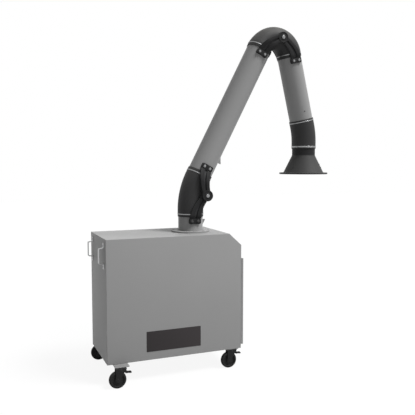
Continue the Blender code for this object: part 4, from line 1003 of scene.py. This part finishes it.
def addBracket(name, layer, bored):
    near, thick, boss = bracket["layers"][layer], bracket["thick"], bracket["boss"]
    low, high = near + 0.0012, near + thick - 0.0025
    steps, face = bracket["steps"], bracket["footFace"]
    (x0, z0), (x1, z1) = bracket["foot"]
    riseEnd = bracket["rise"][layer]

    def lifted(point):
        share = min(max((riseEnd - point.y) / (riseEnd - z1), 0), 1)
        return point.x, point.y, (high - face) * share ** 1.5

    def addSheet(label, starts, ends, depth):
        rows = [[lifted(start), lifted(end)] for start, end in zip(starts, ends)]
        return place(thicken(drawStrip(name + label, rows), -depth), (0, -low, 0))

    left = [curveAt(bracket["outer"], n / steps) for n in range(steps + 1)]
    right = [curveAt(bracket["inner"], n / steps) for n in range(steps + 1)]
    across = [(r - l).normalized() * bracket["rib"] for l, r in zip(left, right)]
    web = addSheet("", left, right, bracket["web"])
    if bored:
        carve(web, addRod("webBore", (0, -0.08, 0), (0, -0.16, 0), bracket["bore"]))
    ribs = [soften(addSheet("Rib", starts, ends, high - low), 0.0022, 3, 50)
            for starts, ends in ((left, [l + a for l, a in zip(left, across)]),
                                 ([r - a for r, a in zip(right, across)], right))]

    foot = addBlock(name + "Foot", (x0, -face - 0.0002, z0), (x1, -bracket["footIn"], z1))
    roundAlong(foot, yAxis, 0.010, 5)
    seat = addRod(name + "Seat", (-arm["side"], 0, z0 - 0.01), (-arm["side"], 0, z1 + 0.01),
                  arm["duct"] + 0.0003, 96)
    foot = soften(carve(foot, seat), 0.002, 3, 50)
    lobes, lobeIn = [], bracket["lobeIn"]
    for x in bracket["bolts"]:
        lobe = addTurned(name + "Lobe", [
            (0.0190, 0), (0.0190, face - lobeIn), (0.0180, face - lobeIn + 0.0012),
            (0.0165, face - lobeIn + 0.0015)], 48)
        lobes.append(turnTo(lobe, (x, -lobeIn, bracket["boltHeight"]), toFront))

    hub = addTurned(name + "Boss", [
        (boss - 0.001, 0.0), (boss, 0.001), (boss, thick - 0.0022),
        (boss - 0.0006, thick - 0.0007), (boss - 0.0022, thick), (boss - 0.0062, thick),
        (boss - 0.0078, thick - 0.0006), (boss - 0.0088, thick - 0.0022),
        (0.0200, thick - 0.0022), (0.0188, thick - 0.0008), (0.0172, thick - 0.0003)])
    if bored:
        carve(hub, addRod("pivotBore", (0, 0, -0.01), (0, 0, 0.03), bracket["bore"]))
    turnTo(hub, (0, -near, 0), toFront)
    return gather(web, foot, hub, *ribs, *lobes)


def addFootBolts():
    face = -bracket["footFace"] - 0.0015
    parts = []
    for x in bracket["bolts"]:
        washer = addTurned("washer", [(0.0105, 0), (0.0105, 0.0010), (0.0100, 0.0014)], 36)
        head = addTurned("footBolt", [(0.0086, 0.0012), (0.0086, 0.0042), (0.0078, 0.0052),
                                      (0.0060, 0.0055)], 6)
        for part in (washer, head):
            parts.append(turnTo(part, (x, face, bracket["boltHeight"]), toFront))
    return gather(*parts)


def addPivotBolt():
    washer = addTurned("pivotWasher", [(0.0138, 0), (0.0138, 0.0012), (0.0132, 0.0016)], 48)
    head = addTurned("pivotBolt", [(0.0112, 0.0014), (0.0114, 0.0052), (0.0104, 0.0061),
                                   (0.0080, 0.0064)], 6)
    shank = addTurned("pivotShank", [(0.0088, -0.028), (0.0088, 0.0010)], 32)
    return turnTo(gather(washer, head, shank),
                  (0, -bracket["layers"]["outer"] - bracket["thick"] + 0.0002, 0), toFront)


# name of the node, its body, layer, where it sits, its turn, and its flip
bracketPlaces = (
    ("collar_bracket", "swivel", "inner", shoulderAt, 0.0, (1, 1)),
    ("boom_foot_bracket", "boom", "outer", shoulderAt, arm["boomLean"], (1, -1)),
    ("boom_head_bracket", "boom", "outer", elbowAt, arm["boomLean"], (1, 1)),
    ("forearm_bracket", "forearm", "inner", elbowAt, arm["foreLean"], (-1, 1)))


def makeBrackets():
    casts = {"inner": addBracket("innerCast", "inner", False),
             "outer": addBracket("outerCast", "outer", True)}
    bolts, pivotBolt = addFootBolts(), addPivotBolt()
    for node, body, layer, at, turn, (flipX, flipZ) in bracketPlaces:
        for label, side in (("_near", 1), ("_far", -1)):
            def copyOf(piece, name):
                return place(twin(piece, name + node + label), at, turn, (flipX, side, flipZ))

            mount(copyOf(casts[layer], "cast_"), body, "blackCast", node + label)
            # the collar bracket's foot bolts get dark steel instead of zinc: painted shade where
            # they sit in shadow
            mount(copyOf(bolts, "bolts_"), body,
                  "blackSteel" if body == "swivel" else "brightZinc")
            if layer == "inner":
                mount(copyOf(pivotBolt, "pivotBolt_"), body, "brightZinc")
    discard(*casts.values(), bolts, pivotBolt)


makeBrackets()
print("brackets made")

# Hoses: a ring drawn along, turned round the bend, and drawn on; then given its wall
# Each has the place where its bend starts, and how far it reaches at its low and high end.
hose = {"radius": 0.1023, "wall": 0.0045, "sides": 96, "straightSteps": 3,
        "shoulder": (0.115, 0.168, 0.157), "elbow": (0.127, 0.165, 0.165),
        "hood": (0.075, 0.125, 0.125), "pinch": 0.0084}


# The bend's radius follows from where both ducts' axes touch it. The pinch narrows its first half.
def addHose(name, start, reaches, angle, steps, pinch=0.0):
    free, reach, farReach = reaches
    clearSelection()
    side = -1 if angle > 0 else 1
    bendRadius = abs(start) + free / tan(abs(angle) / 2)
    bpy.ops.mesh.primitive_circle_add(vertices=hose["sides"], radius=hose["radius"],
                                      location=(start, 0, -reach))
    tube = named(name)
    openMesh(tube, "EDGE")

    def drawOn(length, direction):
        step = length / hose["straightSteps"]
        for n in range(hose["straightSteps"]):
            bpy.ops.mesh.extrude_edges_move(TRANSFORM_OT_translate={
                "value": (step * sin(direction), 0, step * cos(direction))})

    drawOn(reach - free, 0)
    middle = Vector((start - side * bendRadius, 0, -free))
    bpy.ops.mesh.spin(steps=steps, angle=-angle, center=middle, axis=toBack)
    drawOn(farReach - free, angle)
    leave()
    for n in range(1, steps if pinch else 1):
        bend = abs(angle) * n / steps
        centre = middle + Vector((side * cos(bend), 0, sin(bend))) * bendRadius
        pick(tube, lambda co: co.z > -free - 0.02 and abs(
            atan2(co.z - middle.z, side * (co.x - middle.x)) - bend) < 0.001, "VERT")
        share = 1 - pinch / hose["radius"] * sin(pi * (n / steps) ** 0.5) ** 2
        bpy.ops.transform.resize(value=(share, share, share), center_override=centre)
        leave()
    faceOut(tube)
    wall = tube.modifiers.new("Wall", "SOLIDIFY")
    wall.thickness = hose["wall"]
    wall.offset = -1
    wall.use_even_offset = True
    applyAll(tube)
    return soften(tube, 0.0011, 3, 50)


def halve(piece, height, above):
    splitAt(piece, (0, 0, height), up, use_fill=False, clear_inner=above,
            clear_outer=not above)
    pick(piece, lambda middle, along: abs(middle.z - height) < 0.00001, "EDGE")
    bpy.ops.mesh.bridge_edge_loops()
    leave()
    return faceOut(piece)


def bendWith(piece, start, end, before, after, *standsFor):
    dress(smooth(piece), "hoseRubber")
    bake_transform(piece)
    if standsFor:
        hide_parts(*standsFor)


def inFrame(at, turn, x, z):
    return (at.x + x * cos(turn) + z * sin(turn), 0, at.z - x * sin(turn) + z * cos(turn))


def makeHoses():
    lean, foreLean, side = arm["boomLean"], arm["foreLean"], arm["side"]
    free = hose["shoulder"][0]
    shoulder = addHose("shoulderHose", -side, hose["shoulder"], lean, 14)
    bendWith(place(shoulder, shoulderAt), inFrame(shoulderAt, 0, -side, -free),
             inFrame(shoulderAt, lean, -side, free), "swivel", "boom", "shoulder_hose")
    free = hose["elbow"][0]
    elbow = addHose("elbowHose", -side, hose["elbow"], pi - lean + foreLean, 44, hose["pinch"])
    bendWith(place(elbow, elbowAt, lean), inFrame(elbowAt, lean, -side, -free),
             inFrame(elbowAt, foreLean, side, -free), "boom", "forearm", "elbow_hose")
    free = hose["hood"][0]
    wrist = addHose("hoodHose", 0.0, hose["hood"], foreLean, 14)
    upper = place(halve(twin(wrist, "hoodHose_upper"), 0.0, True), hoodAt)
    lower = place(halve(twin(wrist, "hoodHose_lower"), 0.0, False), hoodAt)
    discard(wrist)
    bendWith(upper, inFrame(hoodAt, foreLean, 0, free), tuple(hoodAt), "forearm", "gimbal",
             "hood_hose")
    bendWith(lower, tuple(hoodAt), inFrame(hoodAt, 0, 0, -free), "gimbal", "hood")


makeHoses()
print("hoses made")

# Worm-drive clamps: a thin band with rolled edges, a housing, its screw and the band's tail
band = {"inner": 0.1026, "outer": 0.1038, "half": 0.0036, "hoodHalf": 0.0060, "back": radians(38),
        "slots": 7, "firstSlot": -0.0155, "slotPitch": 0.0025}


def addBand(half):
    inner, outer = band["inner"], band["outer"]
    strap = addTurned("hoseBand", [
        (inner, -half), (outer, -half), (outer + 0.0005, -half + 0.0006),
        (outer + 0.0001, -half + 0.0013), (outer, half - 0.0013),
        (outer + 0.0005, half - 0.0006), (outer, half), (inner, half)], 96, True)
    housing = addBlock("bandHousing", (outer - 0.0008, -0.012, -0.0057),
                       (outer + 0.0098, 0.009, 0.0057))
    roundAlong(housing, yAxis, 0.0038, 5, lambda middle: middle.x > outer + 0.005)
    soften(housing, 0.0006, 2, 40)
    worm = addTurned("bandScrew", [(0.0034, -0.0145), (0.0034, 0.0092), (0.0050, 0.0092),
                                   (0.0050, 0.0135), (0.0042, 0.0148)], 6)
    turnTo(worm, (outer + 0.0052, 0, 0), toBack)
    tail = addBlock("bandTail", (outer - 0.0006, -0.034, -0.0050),
                    (outer + 0.0011, -0.010, 0.0050))
    shift(tail, lambda centre, normal: normal.y < -0.9, (-0.0046, 0, 0))
    soften(tail, 0.0003, 2)
    slots = [addBlock("bandSlot", (outer - 0.006, y - 0.0006, -0.0034),
                      (outer + 0.004, y + 0.0006, 0.0034))
             for y in (band["firstSlot"] - band["slotPitch"] * n for n in range(band["slots"]))]
    return gather(strap, housing, worm, carve(tail, *slots))


def makeBands():
    side, lean, foreLean = arm["side"], arm["boomLean"], arm["foreLean"]
    places = (("shoulder_band_lower", "swivel", shoulderAt, 0.0, -side, -0.146, -1),
              ("shoulder_band_upper", "boom", shoulderAt, lean, -side, 0.131, -1),
              ("elbow_band_boom", "boom", elbowAt, lean, -side, -0.139, -1),
              ("elbow_band_forearm", "forearm", elbowAt, foreLean, side, -0.139, 1),
              ("hood_band_upper", "forearm", hoodAt, foreLean, 0.0, 0.109, 1),
              ("hood_band_lower", "hood", hoodAt, 0.0, 0.0, -0.109, 1))
    usual, wide = addBand(band["half"]), addBand(band["hoodHalf"])
    for node, body, at, turn, x, z, screwSide in places:
        clamp = twin(wide if node == "hood_band_lower" else usual, "clamp_" + node)
        clamp.rotation_euler = (0, 0, pi / 2 - screwSide * band["back"])
        settle(clamp)
        place(place(clamp, (x, 0, z)), at, turn)
        mount(clamp, body, "brightZinc", node)
    discard(usual, wide)


makeBands()

# Hood: neck, cone and a flat rim, drawn once round as one wall
hoodForm = {"neck": 0.0975, "neckTop": -0.085, "neckLow": -0.186, "cone": 0.170, "rimTop": -0.3282,
            "rim": 0.204, "rimLow": -0.341, "wall": 0.003, "neckScrews": (-62, 58, 178),
            "neckScrewHeight": -0.160, "coneScrews": (-156, -36, 84), "coneShares": (0.51, 0.70)}


def around(degrees):
    return Vector((cos(radians(degrees)), sin(radians(degrees)), 0))


def makeHood():
    form = hoodForm
    neck, wall, cone, rim = form["neck"], form["wall"], form["cone"], form["rim"]
    top, low, rimTop, rimLow = form["neckTop"], form["neckLow"], form["rimTop"], form["rimLow"]
    tube = addTurned("hoodNeck", [
        (neck - wall, top), (neck - 0.0008, top), (neck, top - 0.0008), (neck, low - 0.0010),
        (neck - wall, low - 0.0010)], 128, True)
    coneStart, coneEnd = (neck + 0.0034, low - 0.0022), (cone - 0.0020, rimTop + 0.0040)
    shell = addTurned("hoodShell", [
        (neck + 0.0003, low + 0.0070), (neck + 0.0012, low + 0.0068),
        (neck + 0.0017, low + 0.0015), coneStart, coneEnd, (cone + 0.0006, rimTop + 0.0010),
        (cone + 0.0042, rimTop), (rim - 0.0016, rimTop), (rim - 0.0003, rimTop - 0.0008),
        (rim, rimTop - 0.0022), (rim, rimLow + 0.0014), (rim - 0.0012, rimLow),
        (rim - 0.0032, rimLow), (rim - 0.0040, rimLow + 0.0012), (rim - 0.0044, rimTop - 0.0030),
        (cone + 0.0030, rimTop - 0.0030), (cone - 0.0040, rimTop - 0.0010),
        (neck - 0.0002, low - 0.0040), (neck + 0.0003, low - 0.0012)], 128, True)
    mount(place(shell, hoodAt), "hood", "hoodPlastic", "hood")
    straps = place(addStraps("hood"), (0, 0, 0), 0.0, (1, 1, -1))
    straps.rotation_euler = (0, 0, pi / 2)
    mount(place(gather(tube, settle(straps)), hoodAt), "hood", "neckPlastic")

    seats = [(hoodAt + around(angle) * (neck + 0.0001) + Vector((0, 0, form["neckScrewHeight"])),
              around(angle)) for angle in form["neckScrews"]]
    dots = addBolts("hood", seats)
    # pairs of screws down the cone, as the photo shows at its left
    upper, lower = Vector(coneStart), Vector(coneEnd)
    slope = (lower - upper).normalized()
    seats = []
    for angle in form["coneScrews"]:
        for share in form["coneShares"]:
            spot = upper.lerp(lower, share)
            seats.append((hoodAt + around(angle) * (spot.x - 0.0004) + Vector((0, 0, spot.y)),
                          around(angle) * -slope.y + Vector((0, 0, slope.x))))
    mount(gather(dots, addBolts("cone", seats)), "hood", "blackPlastic")


makeHood()
print("clamps and hood made")

# Casters, modelled in the swivel's frame: wheel trailing to the left, pedal to the right
caster = {"trail": 0.024, "wheel": 0.0635, "width": 0.032, "forkTop": 0.1469, "crownHalf": 0.040,
          "cheekIn": 0.0196, "cheekThick": 0.0022, "cheekEnd": 0.016, "curveSteps": 12,
          "pinTop": 0.1529, "pedalPivot": (0.034, 0.1129), "droop": radians(8)}


def addFork():
    top, reach, trail, axleHeight = (caster[key] for key in ("forkTop", "crownHalf", "trail",
                                                             "wheel"))
    plate = addBlock("casterFork", (-reach, -0.023, top - 0.0042), (reach, 0.023, top))
    soften(roundAlong(plate, zAxis, 0.010, 6), 0.001, 2, 40)
    race = addTurned("forkRace", [(0.0190, 0.1270), (0.0215, 0.1286), (0.0225, 0.1310),
                                  (0.0225, 0.1430)], 48)
    left = ((-0.040, 0.1440), (-0.0395, 0.1359), (-0.0400, 0.0860), (-0.0400, 0.0635))
    right = ((0.040, 0.1440), (0.038, 0.1320), (0.0050, 0.0990), (-0.0080, 0.0635))
    rows = []
    for n in range(caster["curveSteps"] + 1):
        rows.append([curveAt(edge, n / caster["curveSteps"]) for edge in (left, right)])
    for n in range(1, 9):
        angle = pi / 2 * n / 8.5
        out, z = caster["cheekEnd"] * cos(angle), axleHeight - caster["cheekEnd"] * sin(angle)
        rows.append([(-trail - out, z), (-trail + out, z)])
    parts = []
    for side in (-1, 1):
        cheek = thicken(drawStrip("forkCheek", rows), caster["cheekThick"] * side)
        parts.append(soften(place(cheek, (0, caster["cheekIn"] * side, 0)), 0.0007, 2, 50))
    axle = addTurned("casterAxle", [(0.0048, -0.0212), (0.0048, 0.0212)], 24)
    turnTo(axle, (-trail, 0, axleHeight), toBack)
    kingpin = addTurned("kingpin", [(0.006, top - 0.003), (0.006, caster["pinTop"])], 24)
    x, z = caster["pedalPivot"]
    for lug in addPair("pedalLug", (x - 0.0055, 0.0067, z - 0.0055),
                       (x + 0.0055, 0.0107, top - 0.001)):
        roundAlong(lug, yAxis, 0.0045, 5, lambda middle: middle.z < z)
        parts.append(soften(lug, 0.0005, 2, 40))
    pin = addTurned("pedalPin", mirrored([(0.0036, -0.0150), (0.0040, -0.0146)]), 24)
    turnTo(pin, (x, 0, z), toBack)
    return gather(plate, race, axle, kingpin, pin, *parts)


def addWheel():
    half, r = caster["width"] / 2, caster["wheel"]
    core = addTurned("wheelCore", mirrored([
        (0.0057, 0.0190), (0.0205, 0.0190), (0.0220, 0.0176), (0.0226, 0.0090),
        (0.0240, 0.0072), (0.0440, 0.0070), (0.0456, 0.0086), (0.0466, 0.0146),
        (0.0474, 0.0150)]), 72, True)
    tyre = addTurned("wheelTyre", mirrored([
        (0.0472, 0.0150), (0.0480, half), (0.0550, half), (0.0582, half - 0.0008),
        (0.0610, half - 0.0034), (0.0628, half - 0.0072), (r, half - 0.0118)]), 96, True)
    cap = addTurned("axleHead", mirrored([(0.0060, -0.0229), (0.0078, -0.0225),
                                          (0.0084, -0.0216)]), 32)
    return [turnTo(part, (-caster["trail"], 0, r), toBack) for part in (core, tyre, cap)]


def addPedal():
    blade = addBlock("brakePedal", (0.009, -0.015, -0.0038), (0.034, 0.015, 0.0042))
    pick(blade, lambda centre, normal: normal.x > 0.9)
    bpy.ops.mesh.extrude_region_move(TRANSFORM_OT_translate={"value": (0.009, 0, 0.0008)})
    bpy.ops.transform.resize(value=(1, 0.86, 1.2), center_override=(0.043, 0, 0.0010))
    leave()
    soften(blade, 0.0012, 3, 40)
    parts = [addSoft("pedalRib", (x - 0.0008, -0.0120, 0.0030), (x + 0.0008, 0.0120, 0.0066),
                     0.0005) for x in (0.0300, 0.0333, 0.0366, 0.0399)]
    for ear in addPair("pedalEar", (-0.0055, 0.011, -0.0055), (0.015, 0.015, 0.0055)):
        roundAlong(ear, yAxis, 0.0040, 5)
        hole = addRod("earHole", (0, -0.03, 0), (0, 0.03, 0), 0.0046, 24)
        parts.append(soften(carve(ear, hole), 0.0005, 2, 40))
    x, z = caster["pedalPivot"]
    return place(gather(blade, *parts), (x, 0, z), caster["droop"])


def makeCasters():
    fork, pedal = addFork(), addPedal()
    core, tyre, cap = addWheel()
    for corner in corners:
        at = jointAt["caster_swivel_" + corner]
        for piece, name, body, finish, node in (
                (fork, "fork_", "caster_", "casterSteel", "caster_fork_"),
                (tyre, "tyre_", "caster_wheel_", "wheelRubber", "wheel_"),
                (core, "core_", "caster_wheel_", "wheelCore", None),
                (cap, "axleHeads_", "caster_", "casterSteel", None),
                (pedal, "pedal_", "caster_brake_", "casterSteel", "brake_pedal_")):
            mount(place(twin(piece, name + corner), (at.x, at.y, 0)), body + corner, finish,
                  *([node + corner] if node else []))
    discard(fork, core, tyre, cap, pedal)


makeCasters()
print("casters made")

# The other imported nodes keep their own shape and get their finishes
keptNodes = {"sealRubber": ["door_gasket"], "brightZinc": ["door_hinge", "hood_gimbal"],
             "galvanised": ["partition", "cell_rack", "blower_housing", "motor_mount"],
             "bareAluminium": ["prefilter", "ionizer", "collector_cell", "after_filter",
                               "fan_wheel"], "machinePaint": ["blower_motor", "power_pack"]}
for finish, nodes in keptNodes.items():
    for kept in bpy.data.objects:
        if kept.type == "MESH" and kept.name.split(".")[0] in nodes:
            for slot in kept.material_slots:
                slot.material = finishes[finish]
print("kept nodes finished:", sum(map(len, keptNodes.values())))
